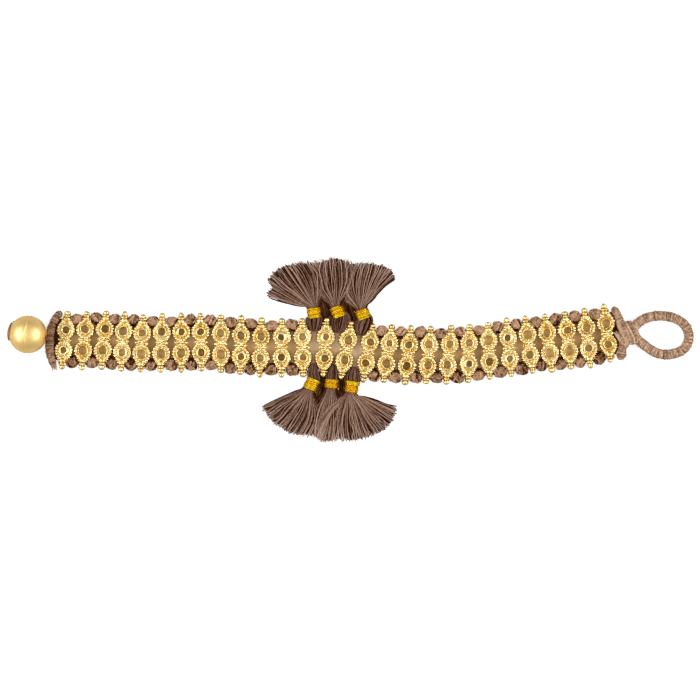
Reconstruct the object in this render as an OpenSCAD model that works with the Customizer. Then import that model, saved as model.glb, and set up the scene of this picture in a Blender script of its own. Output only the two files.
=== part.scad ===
// A woven bracelet of cast double-ring beads, laid open and flat.
// +X runs along the band from the ball button to the closure loop, +Y across it and +Z up.
// The origin is the middle of the footprint, on the surface that the bracelet lies on.

/* [Beads] */
// Distance from one bead to the next along the band
bead_pitch = 5.5; // [5.4:0.05:5.6]
// Extra distance between two beads that have tassels between them
tassel_room = 0.6; // [0.5:0.05:0.7]
// Diameter of the circle on which a ring's rim grains stand
grain_circle = 4.34; // [4.2:0.02:4.4]
// Diameter of one rim grain
grain_diameter = 0.8; // [0.76:0.02:0.82]
// Distance between the centres of a bead's two rings
ring_spacing = 5.8; // [5.6:0.1:6]
// Diameter of the hole in each ring
ring_hole = 2.3; // [1.6:0.1:2.36]
// Thickness of a bead's rings
ring_thickness = 1.6; // [1.3:0.1:1.7]
// Diameter of the collar that a thread runs through
collar_diameter = 1.9; // [1.7:0.05:1.95]
// Diameter of the ball at a finial's tip
tip_diameter = 1.3; // [1:0.1:1.6]
// Length of a bead from tip to tip
bead_length = 17.2; // [17:0.1:17.6]

/* [Band] */
// Width of the tape's full thickness, behind the beads
tape_width = 10.4; // [9:0.1:10.4]
// Width of the tape with its thin edges, which reach under the knots
tape_edge_width = 11.8; // [10.4:0.1:12]
// Thickness of the tape
tape_thickness = 1; // [0.8:0.1:1]
// Diameter of the thread along each edge
edge_thread = 0.4; // [0.3:0.05:0.45]
// Diameter of the knots along each edge
knot_diameter = 2.8; // [2.2:0.1:2.9]

/* [Ball button] */
// Diameter of the ball
ball_diameter = 10.5; // [9:0.25:10.5]
// Wall of the hollow ball
ball_wall = 0.5; // [0.4:0.1:1]
// Diameter of the hole through the ball
ball_hole = 2; // [1.6:0.1:2.4]
// Turn of the ball's axis, seen from above
ball_turn = -11; // [-14:1:-8]
// Rise of the ball's axis towards the band
ball_rise = 8; // [5:1:10]

/* [Cords] */
// Diameter of the wound cord at the button end
button_end_diameter = 2.3; // [1.9:0.1:2.3]
// Diameter of the wound cord at the loop end
loop_end_diameter = 2.4; // [2:0.1:2.4]
// Diameter of the wound cord of the closure loop
loop_diameter = 2.9; // [2.4:0.1:3]

/* [Tassels] */
// Diameter of a tassel's head
head_diameter = 3.6; // [3:0.1:3.6]
// Width of the head where the threads gather into the binding
shoulder_width = 4.4; // [3:0.1:4.5]
// Diameter of a tassel's neck under its binding
neck_diameter = 2.9; // [2.5:0.1:3]
// Diameter over a binding of gold thread
binding_diameter = 4; // [3.8:0.1:4.1]
// Angle of the fan that one lock of threads takes
lock_angle = 8; // [7:1:11]

/* [Hidden] */
BEADS = 28;
// The first bead's place along the band, and the first of the gaps that hold tassels
FIRST_BEAD_X = -79.3;
FIRST_TASSEL_GAP = 13;
TASSELS = 3;
BACK = 1;
FRONT = -1;
SIDES = [BACK, FRONT];

// Space left between two pieces that lie against each other
clearance = 0.15;
// Space between a bead and the tape that it lies on
seat = 0.1;
// Space between a cord and the surface that the bracelet lies on
surface_gap = 0.05;
// How far the ball's seam stands out, and where the ball lies
seam_proud = 0.12;
BALL_CENTRE = [-89.3, 4.3, ball_diameter / 2 + seam_proud];

// How the band lies: x, y of its centre line
BAND_LAY = [
    [-90, 3.0],
    [-70, 2.5],
    [-50, 2.0],
    [-30, 1.3],
    [-10, 0.6],
    [10, -1.0],
    [30, -1.0],
    [50, 1.4],
    [70, 4.2],
    [90, 7.5]
];
LAY_STEP = 20;

// How the beads lie, and those between two rows lie between them: bead, degrees that its
// back end leans towards the loop, shift along the band, shift across it
BEAD_LAY = [
    [1, 6, 0, 0],
    [3, 5, -0.15, 0.4],
    [5, 3, -0.65, -0.4],
    [8, -1, -0.8, 0.5],
    [11, 2, -0.7, -0.4],
    [13, -1, -0.1, 0],
    [14, 4, 0, 0.3],
    [15, 11, -0.2, 0.1],
    [17, 9, -0.3, 0],
    [18, 6, -0.2, -0.3],
    [20, 5, 0.1, -0.2],
    [24, -8, 0.3, 0.1],
    [27, -6, 0, -0.2],
    [28, -7, 0, 0.2]
];

// The wound cord at the button end: x, y, radius as a share of its full radius
BUTTON_END_ROUTE = [
    [-80.25, 10.55, 0.5],
    [-80.8, 10.05, 0.95],
    [-82.0, 8.5, 1],
    [-82.9, 6.6, 1],
    [-83.45, 4.4, 1],
    [-83.5, 1.9, 1],
    [-83.45, -0.6, 1],
    [-83.0, -2.4, 1],
    [-82.55, -3.8, 0.85],
    [-82.25, -4.8, 0.5]
];

// The wound cord at the loop end: x, y, radius as a share of its full radius
LOOP_END_ROUTE = [
    [72.4, 11.7, 0.5],
    [72.9, 11.2, 0.9],
    [73.75, 9.95, 1],
    [74.65, 7.8, 1],
    [75.2, 5.2, 1],
    [75.3, 2.4, 1],
    [75.2, 0.4, 1.05],
    [74.9, -1.1, 1.2],
    [74.8, -2.1, 1.05],
    [74.8, -2.7, 0.6]
];

// The closure loop, from its back leg round to its front leg: x, y
LOOP_ROUTE = [
    [78.5, 6.8],
    [81.1, 8.6],
    [84.0, 9.4],
    [86.8, 9.45],
    [89.8, 8.8],
    [92.4, 7.1],
    [93.6, 4.7],
    [93.5, 2.2],
    [92.1, 0.1],
    [89.7, -1.0],
    [86.8, -1.3],
    [84.2, -0.6],
    [81.7, 0.95],
    [78.95, 2.9]
];

// The tassels: gap that one hangs in, side, x and y of its binding, angle of its neck,
// length of its binding
TASSEL_TABLE = [
    [1, BACK, -10.2, 10.3, 96, 2.7],
    [2, BACK, -3.6, 10.5, 112, 2.9],
    [3, BACK, 3.25, 9.9, 109, 2.7],
    [1, FRONT, -10.9, -9.5, 244, 3.0],
    [2, FRONT, -5.4, -9.4, 264, 2.3],
    [3, FRONT, 0.2, -10.2, 258, 3.1]
];

// Their fans in the same order: angle of the first lock and of the last, degrees that each
// of the two bows outward, reach of the first lock, of the middle one and of the last
FAN_TABLE = [
    [161, 94, 2, -8, 13.0, 13.9, 12.9],
    [108, 87, 9, -8, 13.4, 13.2, 13.1],
    [104, 48, 8, 5, 14.1, 13.2, 12.6],
    [202, 266, 0, 7, 13.9, 13.2, 13.8],
    [256, 266, -7, 3, 14.6, 14.7, 14.7],
    [255, 339, -9, 0, 13.9, 13.3, 13.8]
];

// Derived heights above the surface
bead_floor = tape_thickness + seat;
bead_top = bead_floor + ring_thickness;
collar_height = bead_floor + collar_diameter / 2 + 0.05;
binding_height = binding_diameter / 2 + 0.05;

// Derived places along a bead, from its middle
ring_centre = ring_spacing / 2;
thread_reach = 6.6;
tip_centre = bead_length / 2 - tip_diameter / 2;
thread_hole = edge_thread + 0.6;

// Places and directions in the band
function bead_x(k) =
    FIRST_BEAD_X + (k - 1) * bead_pitch
    + tassel_room * max(0, min(TASSELS, k - FIRST_TASSEL_GAP));
function bead_lay(k, i = 0) =
    k > BEAD_LAY[i + 1][0]
    ? bead_lay(k, i + 1)
    : let (from = BEAD_LAY[i], to = BEAD_LAY[i + 1])
        from + (to - from) * (k - from[0]) / (to[0] - from[0]);
function cubic(a, b, c, d, t) =
    b + t / 2 * (c - a + t * (2 * a - 5 * b + 4 * c - d + t * (3 * (b - c) + d - a)));
function at_end(rows, i) = rows[max(0, min(len(rows) - 1, i))];
function along(rows, s) =
    let (i = floor(s))
    cubic(at_end(rows, i - 1), at_end(rows, i), at_end(rows, i + 1), at_end(rows, i + 2), s - i);
function band_y(x) = along(BAND_LAY, (x - BAND_LAY[0][0]) / LAY_STEP)[1];
function rounded_off(rows, steps) =
    [for (i = [0 : steps * (len(rows) - 1)]) along(rows, i / steps)];

// A bead's or a gap's place and lean, and a point reached from it along the bead's length
function bead_place(k) =
    let (lay = bead_lay(k), x = bead_x(k) + lay[2])
    [x, band_y(x) + lay[3], lay[1]];
function gap_place(k) = (bead_place(k) + bead_place(k + 1)) / 2;
function reached(place, reach) =
    [place[0] + reach * sin(place[2]), place[1] + reach * cos(place[2])];
function thread_point(k, side) = reached(bead_place(k), side * thread_reach);
function heading(from, to) = atan2(to[1] - from[1], to[0] - from[0]);

function two_digits(k) = str(k < 10 ? "0" : "", k);
function side_name(side) = side == BACK ? "back" : "front";
function bead_name(k) = str("ring_bead_", two_digits(k));
function tassel_name(row) = str("tassel_", side_name(row[1]), "_", row[0]);
function binding_name(row) = str("tassel_binding_", side_name(row[1]), "_", row[0]);

// A tube of many sides along a route of [x, y, z] points, with a radius for each of them
module swept_cord(route, radii, sides) {
    last = len(route) - 1;
    rings = [
        for (i = [0 : last])
        let (
            ahead = route[min(last, i + 1)] - route[max(0, i - 1)],
            across = cross([0, 0, 1], ahead) / norm(cross([0, 0, 1], ahead)),
            up = cross(ahead, across) / norm(ahead)
        )
        for (j = [0 : sides - 1])
        let (a = 360 * j / sides)
        route[i] + radii[i] * (cos(a) * across + sin(a) * up)
    ];
    walls = [
        for (i = [0 : last - 1], j = [0 : sides - 1])
        let (here = i * sides, next = (j + 1) % sides)
        [here + j, here + next, here + sides + next, here + sides + j]
    ];
    start = [for (j = [0 : sides - 1]) sides - 1 - j];
    end = [for (j = [0 : sides - 1]) last * sides + j];
    polyhedron(points = rings, faces = concat([start, end], walls), convexity = 6);
}

// A cord along rows of x, y and share of its full radius, laid at a height
module laid_cord(rows, radius, sides, steps, height) {
    fine = rounded_off(rows, steps);
    route = [for (p = fine) [p[0], p[1], radius * max(1, p[2]) + height]];
    swept_cord(route, [for (p = fine) radius * p[2]], sides);
}

module backing_tape() {
    // Each end lies under the cord that closes the band: place of its back and of its front corner
    left = [-82.3, -83.1];
    right = [73.8, 74.8];
    pieces = 60;
    edge_thickness = 0.55;
    function edge(i, side, width) =
        let (
            corner = side == BACK ? 0 : 1,
            x = left[corner] + (right[corner] - left[corner]) * i / pieces,
            lean = heading([x, band_y(x)], [x + 1, band_y(x + 1)]),
            half = side * width / 2
        )
        [x - half * sin(lean), band_y(x) + half * cos(lean)];
    color("#8f7d6b")
    for (layer = [[tape_width, tape_thickness], [tape_edge_width, edge_thickness]])
        linear_extrude(layer[1])
        polygon(concat(
            [for (i = [0 : pieces]) edge(i, FRONT, layer[0])],
            [for (i = [pieces : -1 : 0]) edge(i, BACK, layer[0])]
        ));
}

// Where a ring's grains stand: all round but for the waist and the finial
module at_grains() {
    grains = 16;
    for (i = [0 : grains - 1]) {
        turn = 360 * (i + 0.5) / grains;
        if (abs(sin(turn)) < 0.95)
            rotate(turn) translate([grain_circle / 2, 0]) children();
    }
}

// The flat outline of one ring with its scalloped rim and the shoulder of its finial
module ring_outline(side) {
    shoulder = side == BACK ? 1.35 : 1.7;
    translate([0, side * ring_centre]) {
        circle(d = grain_circle + 0.1, $fn = 48);
        at_grains() circle(d = grain_diameter, $fn = 24);
        scale([1, side])
        polygon([
            [-shoulder, 1.5],
            [shoulder, 1.5],
            [0.8, 3.2],
            [-0.8, 3.2]
        ]);
    }
}

// A finial turned along its own axis: collar, two rounds and the ball at the tip
module finial() {
    base = 4.8;
    collar_end = thread_reach + 0.65;
    rotate_extrude($fn = 48)
    intersection() {
        union() {
            translate([0, base]) square([collar_diameter / 2 - 0.1, collar_end - base]);
            translate([0, thread_reach - 0.5]) square([collar_diameter / 2, 1]);
            translate([0, collar_end - 0.1]) square([tip_diameter / 2 - 0.2, 0.6]);
            translate([0, tip_centre]) circle(d = tip_diameter, $fn = 32);
        }
        square([collar_diameter, bead_length]);
    }
}

module ring_bead(k) {
    place = bead_place(k);
    lip_circle = ring_hole + 0.7;
    lip_round = 0.54;
    waist = 2.2;
    color("#d8b45a")
    translate([place[0], place[1], 0])
    rotate(-place[2])
    difference() {
        union() {
            translate([0, 0, bead_floor])
            linear_extrude(ring_thickness) {
                for (side = SIDES) ring_outline(side);
                square([waist, 2.4], center = true);
            }
            for (side = SIDES) {
                translate([0, side * ring_centre, bead_top]) {
                    at_grains() sphere(d = grain_diameter - 0.08, $fn = 16);
                    rotate_extrude($fn = 48)
                    translate([lip_circle / 2, 0]) circle(d = lip_round, $fn = 16);
                }
                translate([0, 0, collar_height]) rotate([-90 * side, 0, 0]) finial();
            }
        }
        for (side = SIDES) {
            translate([0, side * ring_centre, 0]) cylinder(d = ring_hole, h = 2 * bead_top, $fn = 48);
            translate([0, side * thread_reach, collar_height])
            rotate([0, 90, 0])
            cylinder(d = thread_hole, h = 2 * collar_diameter, center = true, $fn = 24);
        }
    }
}

// Half of a barrel's outline round a bore, from its middle to its end faces
module barrel(length, diameter, bore) {
    outline = [
        for (a = [-60 : 24 : 60])
        [diameter / 2 * cos(a) + 0.15 * (1 - cos(a)), length / 2 * sin(a) / sin(60)]
    ];
    rotate_extrude($fn = 32)
    polygon(concat([[bore / 2, -length / 2]], outline, [[bore / 2, length / 2]]));
}

module edge_knots(side) {
    color("#8a7068")
    for (k = [1 : BEADS - 1])
        if (k < FIRST_TASSEL_GAP || k >= FIRST_TASSEL_GAP + TASSELS) {
            from = thread_point(k, side);
            to = thread_point(k + 1, side);
            middle = (from + to) / 2;
            length = norm(to - from) - collar_diameter - 5 * clearance;
            translate([middle[0], middle[1], collar_height])
            rotate([0, 90, heading(from, to)])
            barrel(length, knot_diameter, thread_hole);
        }
}

module edge_thread(side) {
    // The thread runs a little way past the first and the last finial
    tail = collar_diameter / 2 + 0.2;
    first = thread_point(1, side);
    last = thread_point(BEADS, side);
    route = concat(
        [[first[0] - tail, first[1], collar_height]],
        [for (k = [1 : BEADS]) [thread_point(k, side)[0], thread_point(k, side)[1], collar_height]],
        [[last[0] + tail, last[1], collar_height]]
    );
    color("#7a6259") swept_cord(route, [for (p = route) edge_thread / 2], 8);
}

// One station of a lock: a flat disc across its heading
module lock_station(point, turn, half_width, half_height) {
    translate(point)
    rotate([0, 90, turn])
    scale([half_height, half_width, 1])
    cylinder(r = 1, h = 0.1, center = true, $fn = 8);
}

// One lock of threads from the neck's end, where it still runs along the neck, to its trimmed tip
module lock(root, neck_turn, turn, bow, reach, spread) {
    // share of the reach, share of the bow, share of the spread, height of the middle, half height
    stations = [
        [0.0, 0, 0.0, 2.05, 1.25],
        [0.42, 1, 0.5, 1.6, 1.35],
        [0.93, 0, 1.0, 1.0, 0.95],
        [1.0, 0, 0.8, 0.85, 0.5]
    ];
    function place(s) =
        let (bent = turn + bow * s[1])
        [root[0] + s[0] * reach * cos(bent), root[1] + s[0] * reach * sin(bent), s[3]];
    for (i = [0 : len(stations) - 2])
        hull()
            for (s = [stations[i], stations[i + 1]])
                lock_station(place(s), s[0] == 0 ? neck_turn : turn, 0.45 + spread * s[2], s[4]);
}

module tassel(row, fan) {
    bead = FIRST_TASSEL_GAP - 1 + row[0];
    gap = gap_place(bead);
    side = row[1];
    binding = [row[2], row[3]];
    neck_turn = row[4];
    neck_way = [cos(neck_turn), sin(neck_turn)];
    neck_end = binding + (row[5] / 2 + 0.3) * neck_way;
    opening = fan[1] - fan[0];
    locks = max(3, round(abs(opening) / lock_angle) + 1);
    from = thread_point(bead, side);
    to = thread_point(bead + 1, side);
    room = norm(to - from) - collar_diameter - 2 * clearance;
    tips = reached(bead_place(bead + 1), side * tip_centre) - reached(bead_place(bead), side * tip_centre);
    tip_room = norm(tips) - tip_diameter - 4 * clearance;
    // The head is round, and narrows inwards between the two beads' rings
    head = reached(gap, side * (thread_reach + 0.3));
    head_height = 2.45;
    pinch = reached(gap, side * (thread_reach - 1.1));
    pinch_height = 2.25;
    pinch_diameter = 1.7;
    module in_binding() {
        translate([binding[0], binding[1], binding_height]) rotate([0, 90, neck_turn]) children();
    }
    // The reach is a curve through its three values
    function reach(t) =
        fan[4] * (1 - t) * (1 - 2 * t) + fan[5] * 4 * t * (1 - t) + fan[6] * t * (2 * t - 1);
    color("#7b675f")
    difference() {
        union() {
            hull() {
                translate([head[0], head[1], head_height])
                sphere(d = min(head_diameter, room), $fn = 12);
                translate([pinch[0], pinch[1], pinch_height]) sphere(d = pinch_diameter, $fn = 10);
            }
            hull() {
                translate([head[0], head[1], head_height - 0.15])
                sphere(d = neck_diameter - 0.3, $fn = 12);
                in_binding() translate([0, 0, -row[5] / 2 - 0.3])
                scale([neck_diameter, min(shoulder_width, tip_room), 1])
                cylinder(d = 1, h = 0.1, $fn = 14);
            }
            in_binding() cylinder(d = neck_diameter, h = row[5] + 0.6, center = true, $fn = 14);
            for (i = [0 : locks - 1]) {
                t = i / (locks - 1);
                sideways = (t - 0.5) * sign(opening);
                root = neck_end + sideways * [-neck_way[1], neck_way[0]];
                bow = t < 0.5 ? fan[2] * (1 - 2 * t) : fan[3] * (2 * t - 1);
                spread = reach(t) * abs(opening) / (locks - 1) * PI / 360 - 0.4;
                lock(root, neck_turn, fan[0] + t * opening, bow, reach(t), spread);
            }
        }
        translate([(from[0] + to[0]) / 2, (from[1] + to[1]) / 2, collar_height])
        rotate([0, 90, heading(from, to)])
        cylinder(d = thread_hole, h = 2 * head_diameter, center = true, $fn = 10);
    }
}

module tassel_binding(row) {
    turns = round(row[5] / 0.5);
    turn_pitch = row[5] / turns;
    bore = neck_diameter + 2 * clearance;
    wall = (binding_diameter - bore) / 2;
    color("#d9a514")
    translate([row[2], row[3], binding_height])
    rotate([0, 90, row[4]])
    translate([0, 0, -row[5] / 2])
    rotate_extrude($fn = 48) {
        translate([bore / 2, 0.1]) square([wall / 2, row[5] - 0.2]);
        for (i = [0 : turns - 1])
            translate([bore / 2 + wall / 2, (i + 0.5) * turn_pitch]) circle(d = wall, $fn = 16);
    }
}

module button_end_cord() {
    color("#7d675d") laid_cord(BUTTON_END_ROUTE, button_end_diameter / 2, 10, 3, bead_floor);
}

// Turns and moves a shape made along +Z onto the ball's axis, +Z towards the band
module on_ball_axis() {
    translate(BALL_CENTRE) rotate([0, 90 - ball_rise, ball_turn]) children();
}

module ball_button() {
    seam_round = 0.36;
    color("#d9b25c")
    on_ball_axis()
    rotate_extrude($fn = 96)
    intersection() {
        union() {
            difference() {
                circle(d = ball_diameter, $fn = 96);
                circle(d = ball_diameter - 2 * ball_wall, $fn = 96);
            }
            translate([ball_diameter / 2 + seam_proud - seam_round / 2, 0])
            circle(d = seam_round, $fn = 16);
        }
        translate([ball_hole / 2, -ball_diameter]) square([ball_diameter, 2 * ball_diameter]);
    }
}

module button_cord() {
    cord = 1;
    // The coiled end knot lies on the far pole like a cap
    cap_reach = 3;
    cap_inner = ball_diameter / 2 + 0.1;
    cap_outer = cap_inner + 0.4;
    // The cord turns down where it leaves the ball, and ends on the wound end cord
    exit = ball_diameter / 2 + 0.75;
    exit_point = BALL_CENTRE + exit * [
        cos(ball_rise) * cos(ball_turn),
        cos(ball_rise) * sin(ball_turn),
        sin(ball_rise)
    ];
    landing = bead_floor + button_end_diameter + clearance;
    color("#6d5148") {
        on_ball_axis() {
            rotate_extrude($fn = 64)
            intersection() {
                difference() {
                    circle(r = cap_outer, $fn = 96);
                    circle(r = cap_inner, $fn = 96);
                }
                translate([0, -cap_outer]) square([cap_reach, cap_outer]);
            }
            translate([0, 0, -cap_inner - 0.2]) cylinder(d = cord, h = exit + cap_inner + 0.2, $fn = 32);
            translate([0, 0, exit]) sphere(d = cord + 0.3, $fn = 32);
        }
        translate([exit_point[0], exit_point[1], landing])
        cylinder(d = cord, h = exit_point[2] - landing, $fn = 32);
    }
}

module loop_end_cord() {
    color("#8a7064") laid_cord(LOOP_END_ROUTE, loop_end_diameter / 2, 10, 3, bead_floor);
}

// The neck joins both of the loop's legs to the end cord, and lies just short of all three
module loop_neck() {
    last = len(LOOP_ROUTE) - 1;
    face = 0.2;
    gap = 0.22;
    middle_height = loop_diameter / 2 + surface_gap;
    color("#8d7467")
    hull() {
        for (leg = [[LOOP_ROUTE[0], LOOP_ROUTE[1]], [LOOP_ROUTE[last], LOOP_ROUTE[last - 1]]])
            translate([leg[0][0], leg[0][1], middle_height])
            rotate([0, 90, heading(leg[0], leg[1])])
            translate([0, 0, -gap - face])
            cylinder(d = loop_diameter, h = face, $fn = 16);
        // It bulges up beside the end cord: x, y, height, diameter
        for (p = [[76.9, 7.5, 2.1, 1.2], [77.3, 5, 2.2, 1.2], [77.3, 2.5, 2.1, 1.2], [78.1, 4.9, 2.1, 2.6]])
            translate([p[0], p[1], p[2]]) sphere(d = p[3], $fn = 12);
    }
}

module closure_loop() {
    rows = [for (p = LOOP_ROUTE) [p[0], p[1], 1]];
    color("#8f7669") laid_cord(rows, loop_diameter / 2, 12, 4, surface_gap);
}

backing_tape();
for (k = [1 : BEADS])
    ring_bead(k);
for (side = SIDES) {
    edge_knots(side);
    edge_thread(side);
}
for (i = [0 : len(TASSEL_TABLE) - 1]) {
    row = TASSEL_TABLE[i];
    tassel(row, FAN_TABLE[i]);
    tassel_binding(row);
}
button_end_cord();
ball_button();
button_cord();
loop_end_cord();
loop_neck();
closure_loop();
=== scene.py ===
"""Dresses the tassel bracelet: cast gold beads on a suede tape, knotted edges, thread tassels
bound in gold, and the ball button and wound loop that close it.

The tables and sizes are in millimetres, as the bracelet is measured, and each mesh is made in metres.
"""

import logging
import math
from collections.abc import Iterator
from dataclasses import dataclass, field
from enum import Enum

import bpy
import numpy as np
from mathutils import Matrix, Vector, noise


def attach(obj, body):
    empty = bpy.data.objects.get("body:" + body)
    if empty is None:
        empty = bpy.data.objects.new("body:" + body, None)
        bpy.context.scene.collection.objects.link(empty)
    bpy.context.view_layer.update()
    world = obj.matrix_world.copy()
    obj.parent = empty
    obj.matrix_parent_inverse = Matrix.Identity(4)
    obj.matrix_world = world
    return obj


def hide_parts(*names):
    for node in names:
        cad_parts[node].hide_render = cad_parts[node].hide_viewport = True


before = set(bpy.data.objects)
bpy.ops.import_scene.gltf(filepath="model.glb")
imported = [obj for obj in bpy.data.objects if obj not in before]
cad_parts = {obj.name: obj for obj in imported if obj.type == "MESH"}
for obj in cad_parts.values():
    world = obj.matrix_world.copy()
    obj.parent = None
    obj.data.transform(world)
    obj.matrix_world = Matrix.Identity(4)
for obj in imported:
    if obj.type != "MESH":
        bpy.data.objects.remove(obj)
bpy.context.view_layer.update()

LOG = logging.getLogger("bracelet")
MM = 0.001
IMAGE_SIZE = 700
NOISE_SEED = 1
Array = np.ndarray
UP = np.array([0.0, 0.0, 1.0])
WHITE = (1.0, 1.0, 1.0, 1.0)

BEADS = 28
# The gaps between beads, counted from 1, that hold a tassel, and those that hold a knot
TASSEL_GAPS = range(13, 16)
KNOT_GAPS = [k for k in range(1, BEADS) if k not in TASSEL_GAPS]


class Side(Enum):
    """The two long sides of the band."""

    BACK = 1
    FRONT = -1


class Slot(Enum):
    """The record's material slots."""

    TAPE = "tape_suede"
    GOLD = "cast_gold"
    KNOT = "knotted_cord"
    EDGE = "edge_thread"
    TASSEL = "tassel_thread"
    BINDING = "gold_thread"
    WOUND = "wound_cord"
    BALL = "satin_gold"
    BUTTON_CORD = "button_cord"


# Points, directions and routes


def unit(way: Array) -> Array:
    """Return directions at length one, along the last axis."""
    return way / np.maximum(np.linalg.norm(way, axis=-1, keepdims=True), 1e-12)


def turned(degrees: Array) -> Array:
    """Return the flat direction at each angle, counted from +X towards +Y."""
    angle = np.radians(degrees)
    return np.stack([np.cos(angle), np.sin(angle), np.zeros_like(angle)], axis=-1)


def raised(turn: float, rise: float) -> Array:
    """Return the direction at a turn from +X and a rise from the ground, in degrees."""
    return math.cos(math.radians(rise)) * turned(np.array(turn)) + math.sin(math.radians(rise)) * UP


def ring_angles(sides: int) -> Array:
    """Return the angles of a ring's corners."""
    return np.arange(sides) * 2 * math.pi / sides


def around(angle: Array, one: Array, two: Array) -> Array:
    """Return the direction at each angle, counted from one direction towards another."""
    return np.cos(angle)[..., None] * one + np.sin(angle)[..., None] * two


def heading(route: Array) -> Array:
    """Return the direction of a route, or of several, at each point."""
    return unit(np.gradient(route, axis=-2))


def ellipse(angle: Array, widths: Array, heights: Array, along: Array) -> Array:
    """Find the way from a route's middle to the surface of what lies round it.

    Args:
        angle: angles, counted from the level direction across the route.
        widths: half widths.
        heights: half heights.
        along: the route's direction.

    Returns:
        The way out, at each angle.
    """
    across = unit(np.cross(UP, along))
    up = np.cross(along, across)
    return (np.cos(angle) * widths)[..., None] * across + (np.sin(angle) * heights)[..., None] * up


def smooth_route(rows: Array, steps: int) -> Array:
    """Run a smooth curve through a table's rows.

    Args:
        rows: one row of numbers for each point.
        steps: points on the curve for each row.

    Returns:
        The curve's rows, the first and the last of the table among them.
    """
    table = np.asarray(rows, dtype=float)
    count = steps * (len(table) - 1)
    place = np.arange(count + 1) / steps
    at = np.minimum(place.astype(int), len(table) - 2)
    t = (place - at)[:, None]
    a, b, c, d = (table[np.clip(at + shift, 0, len(table) - 1)] for shift in (-1, 0, 1, 2))
    return b + t / 2 * (c - a + t * (2 * a - 5 * b + 4 * c - d + t * (3 * (b - c) + d - a)))


def lengths_along(route: Array) -> Array:
    """Return the length along a route up to each of its points."""
    return np.concatenate([[0.0], np.cumsum(np.linalg.norm(np.diff(route[:, :3], axis=0), axis=1))])


def sampled(place: Array, lengths: Array, rows: Array) -> Array:
    """Return a route's rows at the given lengths along it."""
    return np.stack([np.interp(place, lengths, column) for column in rows.T], axis=-1)


def evenly(route: Array, gap: float) -> Array:
    """Space the points of a route evenly.

    Args:
        route: rows that start with a point's three numbers.
        gap: about how far apart the new points lie.

    Returns:
        The new rows.
    """
    lengths = lengths_along(route)
    wanted = np.linspace(0.0, lengths[-1], max(2, round(lengths[-1] / gap) + 1))
    return sampled(wanted, lengths, route)


def node_points(name: str) -> Array:
    """Find the points of one of the construction's nodes.

    Args:
        name: the node's name.

    Returns:
        Its points, in millimetres.
    """
    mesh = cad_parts[name].data
    points = np.empty(len(mesh.vertices) * 3)
    mesh.vertices.foreach_get("co", points)
    return points.reshape(-1, 3) / MM


# Meshes


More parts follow.
